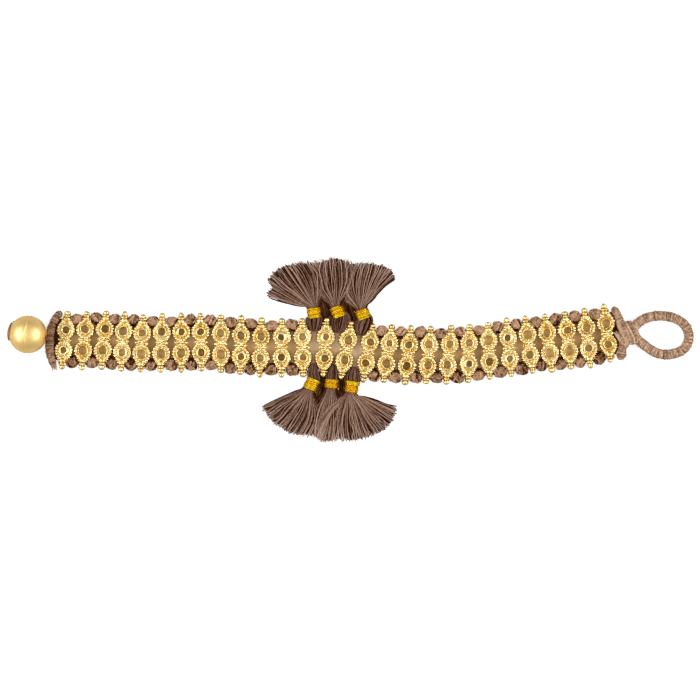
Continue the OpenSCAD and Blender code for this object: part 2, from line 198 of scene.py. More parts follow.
class Form:
    """A mesh in the making, in millimetres, with the masks that its finish reads at each point."""

    # Of these masks the second holds painted shade, which each finish turns into a darker colour; the third
    # makes thread paler towards a cut tip, and on the tape it holds a painted golden light
    MASKS = ("tone", "recess", "tip")

    def __init__(self) -> None:
        """Start with nothing."""
        self._points: list[Array] = []
        self._faces: list[Array] = []
        self._masks: dict[str, list[Array]] = {name: [] for name in self.MASKS}
        self._count = 0

    def add_rings(self, rings: Array, closed: bool = False, **masks: Array | float) -> None:
        """Skin one row of rings, or several rows at once, into closed walls.

        Args:
            rings: points as (rings, sides, 3), or (rows, rings, sides, 3). Seen from a row's end,
                each ring runs anticlockwise.
            closed: join the last ring to the first, as on a hoop, in place of a face at each end.
            **masks: a number, or numbers that fit (rows, rings, sides).
        """
        rows = rings if rings.ndim == 4 else rings[None]
        many, count, sides, _ = rows.shape
        index = self._count + np.arange(many * count * sides).reshape(many, count, sides)
        here, there = (index, np.roll(index, -1, axis=1)) if closed else (index[:, :-1], index[:, 1:])
        walls = [here, np.roll(here, -1, axis=2), np.roll(there, -1, axis=2), there]
        self._faces.append(np.stack(walls, axis=-1).reshape(-1, 4))
        if not closed:
            self._faces.append(index[:, 0, ::-1])
            self._faces.append(index[:, -1, :])
        self._points.append(rows.reshape(-1, 3))
        for name, values in self._masks.items():
            mask = np.broadcast_to(np.asarray(masks.get(name, 0.0), dtype=float), (many, count, sides))
            values.append(mask.reshape(-1))
        self._count += many * count * sides

    @staticmethod
    def _for_rings(masks: dict[str, Array | float]) -> dict[str, Array]:
        """Turn masks given for each point of a path into masks for each of its rings."""
        return {name: np.asarray(mask, dtype=float)[..., None] for name, mask in masks.items()}

    def add_tubes(self, paths: Array, radii: Array | float, normals: Array, sides: int,
                  **masks: Array | float) -> None:
        """Sweep round tubes along paths.

        Args:
            paths: points as (points, 3) or (tubes, points, 3).
            radii: a number, or one for each point.
            normals: a direction off the path at each point, as the paths or as one for all.
            sides: sides of each tube.
            **masks: a number, or one for each point of each path.
        """
        along = heading(paths)
        off = np.broadcast_to(normals, paths.shape)
        off = unit(off - (off * along).sum(axis=-1, keepdims=True) * along)
        ring = around(ring_angles(sides), off[..., None, :], np.cross(along, off)[..., None, :])
        radius = np.broadcast_to(radii, paths.shape[:-1])[..., None, None]
        self.add_rings(paths[..., None, :] + radius * ring, **self._for_rings(masks))

    def add_turned(self, profile: Array, origin: Array, axis: Array, start: Array, sides: int,
                   closed: bool = False, **masks: Array | float) -> None:
        """Turn a profile round an axis, as on a lathe.

        Args:
            profile: rows of radius and place along the axis, from its low end up; a closed one
                runs anticlockwise.
            origin: point on the axis where the place along it is 0.
            axis: direction of the axis.
            start: direction at which the sides start.
            sides: sides of the turned shape.
            closed: the profile joins its own start.
            **masks: a number, or one for each row of the profile.
        """
        ring = around(ring_angles(sides), start, np.cross(axis, start))
        rings = origin + profile[:, 1, None, None] * axis + profile[:, 0, None, None] * ring
        self.add_rings(rings, closed=closed, **self._for_rings(masks))

    def add_core(self, route: Array, widths: Array, heights: Array, sides: int = 14, **masks: float) -> None:
        """Add the soft core that a winding lies on.

        Args:
            route: points of the middle line.
            widths: half width at each point.
            heights: half height at each point.
            sides: sides of the core.
            **masks: the core's masks.
        """
        way_out = ellipse(ring_angles(sides), widths[:, None], heights[:, None], heading(route)[:, None, :])
        self.add_rings(route[:, None, :] + way_out, **masks)

    def roughen(self, depth: float, size: float, seed: float) -> None:
        """Push every point a little way, as an uneven casting or a hand's work does.

        Args:
            depth: how far, at most.
            size: size of the unevenness.
            seed: another number gives another surface.
        """
        # Without a seed of its own the noise takes one from the clock, and differs on each run
        noise.seed_set(NOISE_SEED)
        points = np.concatenate(self._points)
        shift = Vector((seed * 7.3, seed * 3.1, seed * 5.7))
        pushes = [noise.noise_vector(Vector(p) / size + shift) for p in points]
        self._points = [points + depth * np.array(pushes)]

    def make(self, name: str, crease: float) -> bpy.types.Object:
        """Make the object.

        Args:
            name: the piece's name.
            crease: edges that turn more than this many degrees stay sharp.

        Returns:
            The new object, in the scene and in the frame's place.
        """
        mesh = bpy.data.meshes.new(name)
        faces = [row for block in self._faces for row in block.tolist()]
        mesh.from_pydata((np.concatenate(self._points) * MM).tolist(), [], faces)
        for mask, values in self._masks.items():
            mesh.attributes.new(mask, "FLOAT", "POINT").data.foreach_set("value", np.concatenate(values))
        mesh.shade_smooth()
        mesh.set_sharp_from_angle(angle=math.radians(crease))
        piece = bpy.data.objects.new(name, mesh)
        bpy.context.scene.collection.objects.link(piece)
        return piece


# Finishes


def linear(code: str) -> tuple[float, float, float, float]:
    """Turn a colour code into the shader's own numbers.

    Args:
        code: a hash and six figures.

    Returns:
        Red, green, blue and full cover.
    """
    parts = [int(code[i:i + 2], 16) / 255 for i in (1, 3, 5)]
    red, green, blue = (p / 12.92 if p <= 0.04045 else ((p + 0.055) / 1.055) ** 2.4 for p in parts)
    return red, green, blue, 1.0


@dataclass
class Tree:
    """A node tree with short ways to add and join its nodes."""

    tree: bpy.types.NodeTree

    def add(self, kind: str, values: dict[str | int, object] | None = None,
            **settings: object) -> bpy.types.Node:
        """Add a node.

        Args:
            kind: the node's type without its ShaderNode prefix.
            values: input name or number to a number, a colour, or an output that feeds it.
            **settings: the node's own settings.

        Returns:
            The new node.
        """
        node = self.tree.nodes.new(f"ShaderNode{kind}")
        for name, setting in settings.items():
            setattr(node, name, setting)
        for name, value in (values or {}).items():
            if isinstance(value, bpy.types.NodeSocket):
                self.join(value, node.inputs[name])
            else:
                node.inputs[name].default_value = value
        return node

    def join(self, source: bpy.types.NodeSocket, goal: bpy.types.NodeSocket) -> None:
        """Feed an input from an output."""
        self.tree.links.new(source, goal)

    def mask(self, name: str) -> bpy.types.NodeSocket:
        """Return a mask that the mesh carries at its points."""
        return self.add("Attribute", attribute_name=name).outputs["Fac"]

    def calc(self, operation: str, *values: object) -> bpy.types.NodeSocket:
        """Return the result of a sum on two values."""
        return self.add("Math", dict(enumerate(values)), operation=operation).outputs[0]

    def blend(self, share: object, low: object, high: object) -> bpy.types.NodeSocket:
        """Return a colour between two, by a share."""
        values = {"Factor": share, 6: low, 7: high}
        return self.add("Mix", values, data_type="RGBA").outputs[2]

    def spread(self, value: object, low: float, high: float, out_low: float = 0.0,
               out_high: float = 1.0) -> bpy.types.NodeSocket:
        """Return a value stretched from one range to another, and held inside it."""
        ends = {"Value": value, "From Min": low, "From Max": high, "To Min": out_low, "To Max": out_high}
        return self.add("MapRange", ends).outputs[0]

    def cloud(self, scale: object, detail: float, roughness: float = 0.5) -> bpy.types.NodeSocket:
        """Return soft noise that is fixed to the object.

        Args:
            scale: repeats to the metre.
            detail: how many finer sizes of noise lie in it.
            roughness: how strong the finer ones are.

        Returns:
            The noise, about 0.5 in the mean.
        """
        place = self.add("TexCoord").outputs["Object"]
        values = {"Vector": place, "Scale": scale, "Detail": detail, "Roughness": roughness}
        return self.add("TexNoise", values).outputs["Fac"]


def new_group(name: str, numbers: dict[str, float], colours: dict[str, str],
              output: tuple[str, str]) -> tuple[Tree, bpy.types.Node, bpy.types.NodeSocket]:
    """Start a node group with named inputs and one named output.

    Args:
        name: the group's name.
        numbers: each number input's name and usual value.
        colours: each colour input's name and usual colour code.
        output: the output's name and kind, Float or Color.

    Returns:
        The group's tree, its input node and the socket that puts out its result.
    """
    tree = bpy.data.node_groups.new(name, "ShaderNodeTree")
    for label, value in numbers.items():
        socket = tree.interface.new_socket(label, in_out="INPUT", socket_type="NodeSocketFloat")
        socket.default_value = value
    for label, code in colours.items():
        socket = tree.interface.new_socket(label, in_out="INPUT", socket_type="NodeSocketColor")
        socket.default_value = linear(code)
    tree.interface.new_socket(output[0], in_out="OUTPUT", socket_type=f"NodeSocket{output[1]}")
    given = tree.nodes.new("NodeGroupInput")
    return Tree(tree), given, tree.nodes.new("NodeGroupOutput").inputs[output[0]]


def mottle_group() -> bpy.types.NodeTree:
    """Build the effect of uneven colour: soft blotches with finer ones in them.

    Returns:
        The group's tree.
    """
    tree, given, result = new_group("uneven_blotches", {"Size": 1.0, "Contrast": 1.0}, {}, ("Mask", "Float"))
    blotches = tree.cloud(tree.calc("DIVIDE", 1.0 / MM, given.outputs["Size"]), 3.0, 0.6)
    centred = tree.calc("SUBTRACT", blotches, 0.5)
    stretched = tree.calc("MULTIPLY", centred, given.outputs["Contrast"])
    tree.join(tree.spread(stretched, -0.5, 0.5), result)
    return tree.tree


def grain_group() -> bpy.types.NodeTree:
    """Build the effect of fine grain: a height for a bump, from two sizes of grain.

    Returns:
        The group's tree.
    """
    tree, given, result = new_group("fine_grain", {"Size": 0.2, "Pits": 0.3}, {}, ("Height", "Float"))
    scale = tree.calc("DIVIDE", 1.0 / MM, given.outputs["Size"])
    fine = tree.cloud(scale, 4.0, 0.65)
    coarse = tree.cloud(tree.calc("MULTIPLY", scale, 0.45), 1.0)
    depth = tree.calc("MULTIPLY", tree.spread(coarse, 0.62, 0.72), given.outputs["Pits"])
    tree.join(tree.calc("SUBTRACT", fine, depth), result)
    return tree.tree


def yarn_group() -> bpy.types.NodeTree:
    """Build the colour of dyed thread: each strand its own tone, paler towards a cut tip, and darker where
    painted shade lies.

    Returns:
        The group's tree.
    """
    colours = {"Dark": "#4a372e", "Light": "#a98c7c", "Tip": "#b39788"}
    tree, given, result = new_group("dyed_yarn_and_painted_shade", {"Speckle": 0.14}, colours, ("Color", "Color"))
    speckle = tree.spread(tree.cloud(1.6 / MM, 2.0), 0.3, 0.7, -1.0, 1.0)
    tone = tree.calc("ADD", tree.mask("tone"), tree.calc("MULTIPLY", speckle, given.outputs["Speckle"]))
    colour = tree.blend(tree.spread(tone, 0.0, 1.0), given.outputs["Dark"], given.outputs["Light"])
    paler = tree.spread(tree.mask("tip"), 0.6, 1.0, 0.0, 0.75)
    colour = tree.blend(paler, colour, given.outputs["Tip"])
    # Painted shade turns the colour towards the Dark one
    shaded = tree.spread(tree.mask("recess"), 0.0, 1.0, 0.0, 0.85)
    tree.join(tree.blend(shaded, colour, given.outputs["Dark"]), result)
    return tree.tree


@dataclass
class Effects:
    """The effects that several finishes share, each built once."""

    mottle: bpy.types.NodeTree = field(default_factory=mottle_group)
    grain: bpy.types.NodeTree = field(default_factory=grain_group)
    yarn: bpy.types.NodeTree = field(default_factory=yarn_group)


@dataclass(frozen=True)
class Bench:
    """A material being mixed: its nodes, its shader and the shared effects."""

    material: bpy.types.Material
    tree: Tree
    shader: bpy.types.Node
    effects: Effects

    @classmethod
    def start(cls, name: str, effects: Effects, constants: dict[str, object]) -> "Bench":
        """Start a material.

        Args:
            name: the material's name.
            effects: the shared effects.
            constants: the shader's inputs that are the same all over.

        Returns:
            The bench with a plain material on it.
        """
        material = bpy.data.materials.new(name)
        material.use_nodes = True
        shader = material.node_tree.nodes["Principled BSDF"]
        for label, value in constants.items():
            shader.inputs[label].default_value = value
        return cls(material, Tree(material.node_tree), shader, effects)

    def effect(self, group: bpy.types.NodeTree, values: dict[str, object]) -> bpy.types.NodeSocket:
        """Place a shared effect with its own values and return what it puts out."""
        return self.tree.add("Group", values, node_tree=group).outputs[0]

    def blotches(self, size: float, contrast: float) -> bpy.types.NodeSocket:
        """Place the effect of uneven colour, its blotches of that size in millimetres."""
        return self.effect(self.effects.mottle, {"Size": size, "Contrast": contrast})

    def grain(self, size: float, pits: float) -> bpy.types.NodeSocket:
        """Place the effect of fine grain, of that size in millimetres."""
        return self.effect(self.effects.grain, {"Size": size, "Pits": pits})

    def feed(self, label: str, source: bpy.types.NodeSocket) -> None:
        """Feed one of the shader's inputs."""
        self.tree.join(source, self.shader.inputs[label])

    def bump(self, height: bpy.types.NodeSocket, depth: float, strength: float) -> None:
        """Give the surface a relief of that depth, in millimetres."""
        values = {"Height": height, "Distance": depth * MM, "Strength": strength}
        self.feed("Normal", self.tree.add("Bump", values).outputs["Normal"])


@dataclass(frozen=True)
class CastGold:
    """Gold plate on a casting: pale on the high points, yellow in the recesses and orange in spots, both from
    painted shade mixed with random blotches.
    """

    high: str = "#fcecc0"
    middle: str = "#eecf7a"
    deep: str = "#9c6808"
    spot: str = "#f0980c"

    def mix(self, name: str, effects: Effects) -> bpy.types.Material:
        """Mix the material.

        Args:
            name: the material's name.
            effects: the shared effects.

        Returns:
            The new material.
        """
        bench = Bench.start(name, effects, {"Metallic": 1.0})
        tree = bench.tree
        uneven = tree.spread(bench.blotches(0.6, 2.8), 0.0, 1.0, -0.3, 0.3)
        # Painted shade deepens the colour, with random blotches and each ring's own tone
        depth = tree.calc("ADD", tree.mask("recess"), uneven)
        depth = tree.calc("ADD", depth, tree.mask("tone"))
        colour = tree.blend(tree.spread(depth, 0.0, 0.4), linear(self.high), linear(self.middle))
        colour = tree.blend(tree.spread(depth, 0.4, 0.95), colour, linear(self.deep))
        # The orange spots come where painted shade and random blotches add up
        shade_and_blotches = tree.calc("ADD", tree.mask("recess"), bench.blotches(1.1, 3.5))
        bench.feed("Base Color", tree.blend(tree.spread(shade_and_blotches, 1.25, 1.6), colour, linear(self.spot)))
        bench.feed("Roughness", tree.spread(depth, 0.0, 1.0, 0.22, 0.45))
        bench.bump(bench.grain(0.3, 1.0), 0.07, 0.8)
        return bench.material


@dataclass(frozen=True)
class SatinGold:
    """Gold plate on a turned ball, brushed along its seam, and darker with painted shade in the seam's
    grooves and on its inner face.
    """

    light: str = "#ffe8ac"
    dark: str = "#f4b844"
    strokes: float = 160.0

    def mix(self, name: str, effects: Effects) -> bpy.types.Material:
        """Mix the material.

        Args:
            name: the material's name.
            effects: the shared effects.

        Returns:
            The new material.
        """
        bench = Bench.start(name, effects, {"Metallic": 1.0})
        tree = bench.tree
        place = tree.calc("MULTIPLY", tree.mask("tone"), self.strokes)
        brushed = tree.add("TexNoise", {"W": place, "Detail": 3.0}, noise_dimensions="1D").outputs["Fac"]
        uneven = tree.spread(bench.blotches(2.4, 1.4), 0.0, 1.0, 0.0, 0.5)
        share = tree.calc("ADD", tree.spread(brushed, 0.3, 0.7, 0.0, 0.5), uneven)
        # Painted shade in the seam's grooves and inside darkens the colour
        share = tree.spread(tree.calc("ADD", share, tree.mask("recess")), 0.0, 1.4)
        bench.feed("Base Color", tree.blend(share, linear(self.light), linear(self.dark)))
        bench.feed("Roughness", tree.spread(brushed, 0.3, 0.7, 0.38, 0.52))
        bench.bump(brushed, 0.012, 0.6)
        return bench.material


@dataclass(frozen=True)
class DyedThread:
    """Matt dyed thread, spun or wound, darker where painted shade lies."""

    dark: str
    light: str
    tip: str
    speckle: float = 0.14

    def mix(self, name: str, effects: Effects) -> bpy.types.Material:
        """Mix the material.

        Args:
            name: the material's name.
            effects: the shared effects.

        Returns:
            The new material.
        """
        constants = {"Roughness": 0.85, "Sheen Weight": 0.01, "Specular IOR Level": 0.03}
        bench = Bench.start(name, effects, constants)
        dye = {"Dark": linear(self.dark), "Light": linear(self.light), "Tip": linear(self.tip),
               "Speckle": self.speckle}
        bench.feed("Base Color", bench.effect(effects.yarn, dye))
        bench.bump(bench.grain(0.12, 0.2), 0.05, 0.8)
        return bench.material


@dataclass(frozen=True)
class GoldThread:
    """Shiny golden yellow thread with a metal sheen."""

    bright: str = "#ffe03c"
    deep: str = "#b85c04"

    def mix(self, name: str, effects: Effects) -> bpy.types.Material:
        """Mix the material.

        Args:
            name: the material's name.
            effects: the shared effects.

        Returns:
            The new material.
        """
        bench = Bench.start(name, effects, {"Metallic": 0.85, "Specular IOR Level": 0.1})
        tree = bench.tree
        blotch = bench.blotches(0.7, 3.5)
        # Painted shade, full on the core between the turns, with blotches and each turn's tone, turns the
        # colour deep
        share = tree.calc("ADD", tree.mask("recess"), tree.spread(blotch, 0.0, 1.0, 0.0, 0.45))
        share = tree.calc("ADD", share, tree.spread(tree.mask("tone"), 0.0, 1.0, 0.0, 0.7))
        share = tree.spread(share, 0.1, 1.1)
        bench.feed("Base Color", tree.blend(share, linear(self.bright), linear(self.deep)))
        bench.feed("Roughness", tree.spread(blotch, 0.0, 1.0, 0.08, 0.28))
        bench.bump(bench.grain(0.3, 0.0), 0.16, 1.0)
        return bench.material


@dataclass(frozen=True)
class Suede:
    """Taupe suede with a short nap, greyer where the tassels hang, darkened by painted shade and lightened by
    a painted golden light where its masks say.
    """

    light: str = "#f4e4c6"
    dark: str = "#ccb490"
    grey: str = "#dccaa8"
    painted_gold_light: str = "#e4cc98"
    shade: str = "#3a1e04"

    def mix(self, name: str, effects: Effects) -> bpy.types.Material:
        """Mix the material.

        Args:
            name: the material's name.
            effects: the shared effects.

        Returns:
            The new material.
        """
        constants = {"Roughness": 0.9, "Sheen Weight": 0.01, "Specular IOR Level": 0.03}
        bench = Bench.start(name, effects, constants)
        tree = bench.tree
        colour = tree.blend(bench.blotches(1.6, 1.8), linear(self.dark), linear(self.light))
        colour = tree.blend(tree.mask("tone"), colour, linear(self.grey))
        # A painted golden light, where the tape shows in the beads' holes and in the gaps inside the knots
        colour = tree.blend(tree.mask("tip"), colour, linear(self.painted_gold_light))
        # Painted shade turns the colour towards the shade colour
        shaded = tree.spread(tree.mask("recess"), 0.0, 1.0, 0.0, 0.9)
        bench.feed("Base Color", tree.blend(shaded, colour, linear(self.shade)))
        bench.bump(bench.grain(0.16, 0.2), 0.08, 0.9)
        return bench.material


# Each slot's finish; of dyed thread the colour in shade, in light and at a cut tip, and its speckle
FINISHES = {
    Slot.TAPE: Suede(),
    Slot.GOLD: CastGold(),
    Slot.BALL: SatinGold(),
    Slot.BINDING: GoldThread(),
    Slot.KNOT: DyedThread("#3c1e08", "#d4aa8a", "#d4aa8a", 0.4),
    Slot.EDGE: DyedThread("#2e1608", "#70503a", "#70503a"),
    Slot.TASSEL: DyedThread("#1e0c05", "#c19e8b", "#ceb0a2"),
    Slot.WOUND: DyedThread("#5a3e2e", "#eac4a6", "#e6d2c0", 0.3),
    Slot.BUTTON_CORD: DyedThread("#4a2c20", "#b48e7e", "#b48e7e"),
}


class Cupboard:
    """Every finish of the bracelet, mixed once."""

    def __init__(self) -> None:
        """Mix the finish of each slot."""
        effects = Effects()
        self.mixed = {slot: recipe.mix(slot.value, effects) for slot, recipe in FINISHES.items()}

    def dress(self, piece: bpy.types.Object, slot: Slot, *nodes: str) -> None:
        """Give a piece its finish, and let it stand for its nodes.

        Args:
            piece: the new piece.
            slot: the record's slot whose finish it takes.
            *nodes: the nodes of the construction that it replaces.
        """
        piece.data.materials.append(self.mixed[slot])
        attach(piece, "root")
        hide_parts(*nodes)
        LOG.info("%s stands for %s, %d faces", piece.name, ", ".join(nodes), len(piece.data.polygons))


# What every piece has, and where the beads lie


@dataclass(frozen=True)
class Winding:
    """Thread wound round something, turn beside turn."""

    thread: float = 0.28
    pitch: float = 0.3
    around: int = 16
    sides: int = 5
    unevenness: float = 0.3
    contrast: float = 0.28
    # Turns beside each other that share one tone
    alike: int = 1


@dataclass(kw_only=True)
class Piece:
    """One piece of the bracelet: its mesh in the making, its finish, and its own chance."""

    name: str
    node: str
    slot: Slot
    seed: int = 0
    crease: float = 50.0
    form: Form = field(default_factory=Form, init=False)
    rng: np.random.Generator = field(init=False)

    def __post_init__(self) -> None:
        """Start the piece's own chance."""
        self.rng = np.random.default_rng(self.seed)

    def build(self) -> None:
        """Build the mesh, which each kind of piece does in its own way."""
        raise NotImplementedError

    def dress(self, cupboard: Cupboard) -> None:
        """Make the object and give it its finish."""
        cupboard.dress(self.form.make(self.name, self.crease), self.slot, self.node)

    def wind(self, winding: Winding, route: Array, widths: Array, heights: Array,
             slant: float = 0.0, base_tone: float = 0.5) -> None:
        """Wind thread round a route.

        Args:
            winding: the thread and how it is wound.
            route: points of the middle line, evenly spaced.
            widths: half width of the winding at each point, to the thread's middle.
            heights: half height at each point.
            slant: how far a turn leans along the route.
            base_tone: tone of the thread.
        """
        lengths = lengths_along(route)
        turns = max(2.0, lengths[-1] / winding.pitch)
        whole = np.arange(int(turns) + 2)
        turn = np.linspace(0.0, turns, int(turns * winding.around) + 1)
        drift = np.interp(turn, whole, self.rng.normal(0.0, winding.unevenness, len(whole)))
        looser = np.interp(turn, whole, self.rng.normal(0.0, 0.06, len(whole)))
        angle = 2 * math.pi * turn
        place = (turn + drift) / turns * lengths[-1] + slant * np.cos(angle)
        place = np.clip(place, 0.0, lengths[-1])
        along = unit(sampled(place, lengths, heading(route)))
        half_width = np.interp(place, lengths, widths)
        off = ellipse(angle, half_width, np.interp(place, lengths, heights), along)
        paths = sampled(place, lengths, route) + off * (1 + looser / half_width)[:, None]
        tones = self.rng.uniform(-winding.contrast, winding.contrast, len(whole))
        tone = base_tone + tones[turn.astype(int) // winding.alike]
        self.form.add_tubes(paths, winding.thread / 2, unit(off), winding.sides, tone=tone)


@dataclass(frozen=True)
class Seat:
    """Where a bead lies: its middle, its way across the bead and its way along the bead."""

    middle: Array
    across: Array
    length_way: Array

    def at(self, u: float, v: float, height: float) -> Array:
        """Return the point u across the bead, v along it and so high above the ground."""
        return self.middle + u * self.across + v * self.length_way + height * UP

    @classmethod
    def of_node(cls, name: str) -> "Seat":
        """Find how a bead lies from the points of its node.

        Args:
            name: the node's name.

        Returns:
            The bead's seat.
        """
        flat = node_points(name)[:, :2]
        spread = np.cov((flat - flat.mean(axis=0)).T)
        way = np.linalg.eigh(spread)[1][:, 1]
        way = way * np.sign(way[1])
        across = np.array([way[1], -way[0]])
        middle = sum(
            (flat @ axis).max() / 2 * axis + (flat @ axis).min() / 2 * axis
            for axis in (way, across)
        )
        return cls(np.append(middle, 0.0), np.append(across, 0.0), np.append(way, 0.0))


@dataclass
class BeadRow:
    """The row of beads, and the places on its two edges where the threads run."""

    thread_reach: float = 6.6
    thread_height: float = 2.1
    seats: list[Seat] = field(init=False)

    def __post_init__(self) -> None:
        """Find each bead's seat."""
        self.seats = [Seat.of_node(f"ring_bead_{k:02d}") for k in range(1, BEADS + 1)]

    def thread_point(self, k: int, side: Side) -> Array:
        """Return where the edge thread runs through the collar of bead k, counted from 1."""
        return self.seats[k - 1].at(0.0, side.value * self.thread_reach, self.thread_height)

    def gap_seat(self, k: int) -> Seat:
        """Return the seat halfway between bead k and the next."""
        one, two = self.seats[k - 1], self.seats[k]
        return Seat((one.middle + two.middle) / 2, unit(one.across + two.across),
                    unit(one.length_way + two.length_way))


# The beads

# A rim's grain: share of its radius, height from its foot and then from its middle, how deep in shade
RIM_GRAIN = np.array([
    (0.9, 0.05, 0.9), (1.0, -0.12, 0.5), (0.92, 0.1, 0.15), (0.7, 0.25, 0.0), (0.38, 0.33, 0.0),
    (0.08, 0.36, 0.0),
])
# A finial: radius, place along the bead, how deep in shade. Two collars and the tip's ball
FINIAL = np.array([
    (0.9, 5.0, 0.7), (1.12, 5.35, 0.5), (1.22, 5.7, 0.2), (1.22, 6.0, 0.2), (1.12, 6.25, 0.5),
    (1.02, 6.37, 0.8), (1.1, 6.5, 0.4), (1.16, 6.75, 0.2), (1.06, 7.0, 0.4), (0.82, 7.14, 0.75),
    (0.7, 7.2, 0.75), (0.76, 7.32, 0.5), (0.85, 7.58, 0.35), (0.84, 7.85, 0.2), (0.74, 8.15, 0.3),
    (0.53, 8.41, 0.45), (0.27, 8.55, 0.55), (0.05, 8.59, 0.6),
])
# Its rows at the groove between the collars, on the second collar, behind the ball and on the ball
GROOVE_ROW, COLLAR_ROW, NECK_ROW, BALL_ROW = 5, 7, 10, 12
# Half width of each end's shoulder where it meets its ring
SHOULDERS = {Side.BACK: 1.6, Side.FRONT: 1.9}


@dataclass(kw_only=True)
class CastBead(Piece):
    """One cast bead: two rings with grained rims, a waist, and a turned finial at each end."""

    slot: Slot = Slot.GOLD
    number: int
    seat: Seat
    ring_centre: float = 2.9
    floor: float = 1.1
    thickness: float = 1.6
    bores: tuple[float, ...] = (0.78, 0.92, 1.02, 1.12, 1.2)
    lip_reach: float = 1.6
    grain_circle: float = 4.44
    grain: float = 0.84
    grains: int = 18
    # How much longer a ring's rim is than wide
    longer: float = 1.07
    # Half sizes of the bridge between the rings
    waist_size: tuple[float, float] = (1.5, 0.9)
    # Half width of a shoulder at its finial
    shoulder_end: float = 0.85
    collar_height: float = 2.1
    steps: int = 48

    def ring_profile(self, bore: float) -> Array:
        """List a ring's rows, from its outer foot over its rim, groove and lip to the hole's foot.

        Args:
            bore: the hole's radius.

        Returns:
            Rows of radius, height over the bead's floor, and how deep in shade.
        """
        lip = (self.lip_reach - bore) / 2.6
        wall = self.grain_circle / 2 + 0.27
        top = self.thickness
        return np.array([
            (wall - 0.15, 0.0, 1.0), (wall, 0.15, 1.0), (wall, top - 0.3, 0.8),
            (wall - 0.12, top - 0.08, 0.45), (wall - 0.5, top - 0.04, 0.35), (wall - 0.75, top - 0.18, 0.45),
            (bore + 2.3 * lip, top - 0.16, 0.9), (bore + 1.7 * lip, top + 0.1, 0.2),
            (bore + 1.1 * lip, top + 0.24, 0.0), (bore + 0.5 * lip, top + 0.2, 0.1),
            (bore + 0.1 * lip, top + 0.02, 0.6), (bore, top - 0.25, 0.5), (bore + 0.04, 0.5, 0.35),
            (bore + 0.12, 0.0, 0.35),
        ])

    def ring(self, side: Side) -> None:
        """Add one ring: its uneven hole, the lip round it, the bowl and the wall under the grains.

        Args:
            side: the side of the band that the ring is on.
        """
        rng, seat = self.rng, self.seat
        bore = rng.choice(self.bores)
        rows = self.ring_profile(bore)
        rim = rows[1, 0] - 0.4
        inner = np.clip((rim - rows[:, :1]) / (rim - bore), 0.0, 1.0)
        angle = ring_angles(self.steps)
        oval = 1 + inner * rng.uniform(0.0, 0.09) * np.cos(2 * (angle - rng.uniform(0, math.pi)))
        aside = rng.uniform(-0.2, 0.2, 2) * min(1.0, (1.3 - bore) * 4)
        u = rows[:, :1] * oval * np.cos(angle) + inner * aside[0]
        stretch = 1 + (self.longer - 1) * (1 - inner)
        v = rows[:, :1] * oval * np.sin(angle) * stretch + inner * aside[1]
        lean = rng.uniform(-0.1, 0.1, 2)
        height = rows[:, 1:2] + (lean[0] * u + lean[1] * v) * rows[:, 1:2] / self.thickness
        rings = (seat.middle + u[..., None] * seat.across + (height + self.floor)[..., None] * UP
                 + (v + side.value * self.ring_centre)[..., None] * seat.length_way)
        # Painted shade along the profile, from its third column
        self.form.add_rings(rings, closed=True, recess=rows[:, 2:], tone=rng.uniform(-0.2, 0.15))

    def groove_grains(self, side: Side) -> None:
        """Add the fine, uneven grains in the groove between a ring's rim and its lip.

        Args:
            side: the side of the band that the ring is on.
        """
        count = self.rng.choice([8, 14, 18])
        for i in range(count):
            angle = 2 * math.pi * (i + self.rng.uniform(0.1, 0.9)) / count
            reach = self.rng.uniform(1.5, 1.78)
            v = side.value * self.ring_centre + reach * math.sin(angle)
            self.pearl(self.on_top(reach * math.cos(angle), v, 0.2), self.rng.uniform(0.14, 0.28), 6)

    def rim_grains(self, side: Side) -> None:
        """Add the round grains that stand along a ring's rim.

        Args:
            side: the side of the band that the ring is on.
        """
        rng = self.rng
        for i in range(self.grains):
            angle = 2 * math.pi * (i + rng.uniform(0.4, 0.6)) / self.grains
            size = self.grain / 2 * rng.uniform(0.85, 1.08)
            reach = self.grain_circle / 2 + rng.uniform(-0.08, 0.04)
            rise = self.thickness + rng.uniform(-0.12, 0.02)
            heights = RIM_GRAIN[:, 1] + rise * (np.arange(len(RIM_GRAIN)) > 0)
            profile = np.stack([RIM_GRAIN[:, 0] * size, heights], axis=-1)
            v = side.value * self.ring_centre + self.longer * reach * math.sin(angle)
            foot = self.seat.at(reach * math.cos(angle), v, self.floor)
            # Painted shade from the table, deepest at the grain's foot
            self.form.add_turned(profile, foot, UP, self.seat.across, 8, recess=RIM_GRAIN[:, 2])

    def on_top(self, u: float, v: float, sunk: float) -> Array:
        """Return the point u across the bead and v along it, sunk a little under its upper face."""
        return self.seat.at(u, v, self.floor + self.thickness - sunk)

    def pearl(self, centre: Array, radius: float, sides: int = 10) -> None:
        """Add one small round grain.

        Args:
            centre: its middle.
            radius: its radius.
            sides: its sides.
        """
        angle = np.radians(np.linspace(-50, 84, 5))
        profile = np.stack([radius * np.cos(angle), radius * np.sin(angle)], axis=-1)
        # Painted shade, deepest at the grain's foot and none on its top
        self.form.add_turned(profile, centre, UP, self.seat.across, sides, recess=np.linspace(0.9, 0.0, 5))

    def slab(self, outline: list[tuple[float, float]], top: float) -> None:
        """Add a flat block with softened upper edges.

        Args:
            outline: corners across and along the bead, anticlockwise.
            top: height of its upper face over the bead's floor.
        """
        corners = np.array(outline)
        middle = corners.mean(axis=0)
        # Share of the outline, height, how deep in shade
        shrink = np.array([
            (1.0, 0.0, 1.0), (1.0, top - 0.18, 0.7), (0.95, top - 0.05, 0.6), (0.85, top, 0.6),
        ])
        rings = np.array([
            [self.seat.at(*(middle + (corner - middle) * share), self.floor + height) for corner in corners]
            for share, height, _ in shrink
        ])
        # Painted shade, deepest at the block's foot
        self.form.add_rings(rings, recess=shrink[:, 2:])

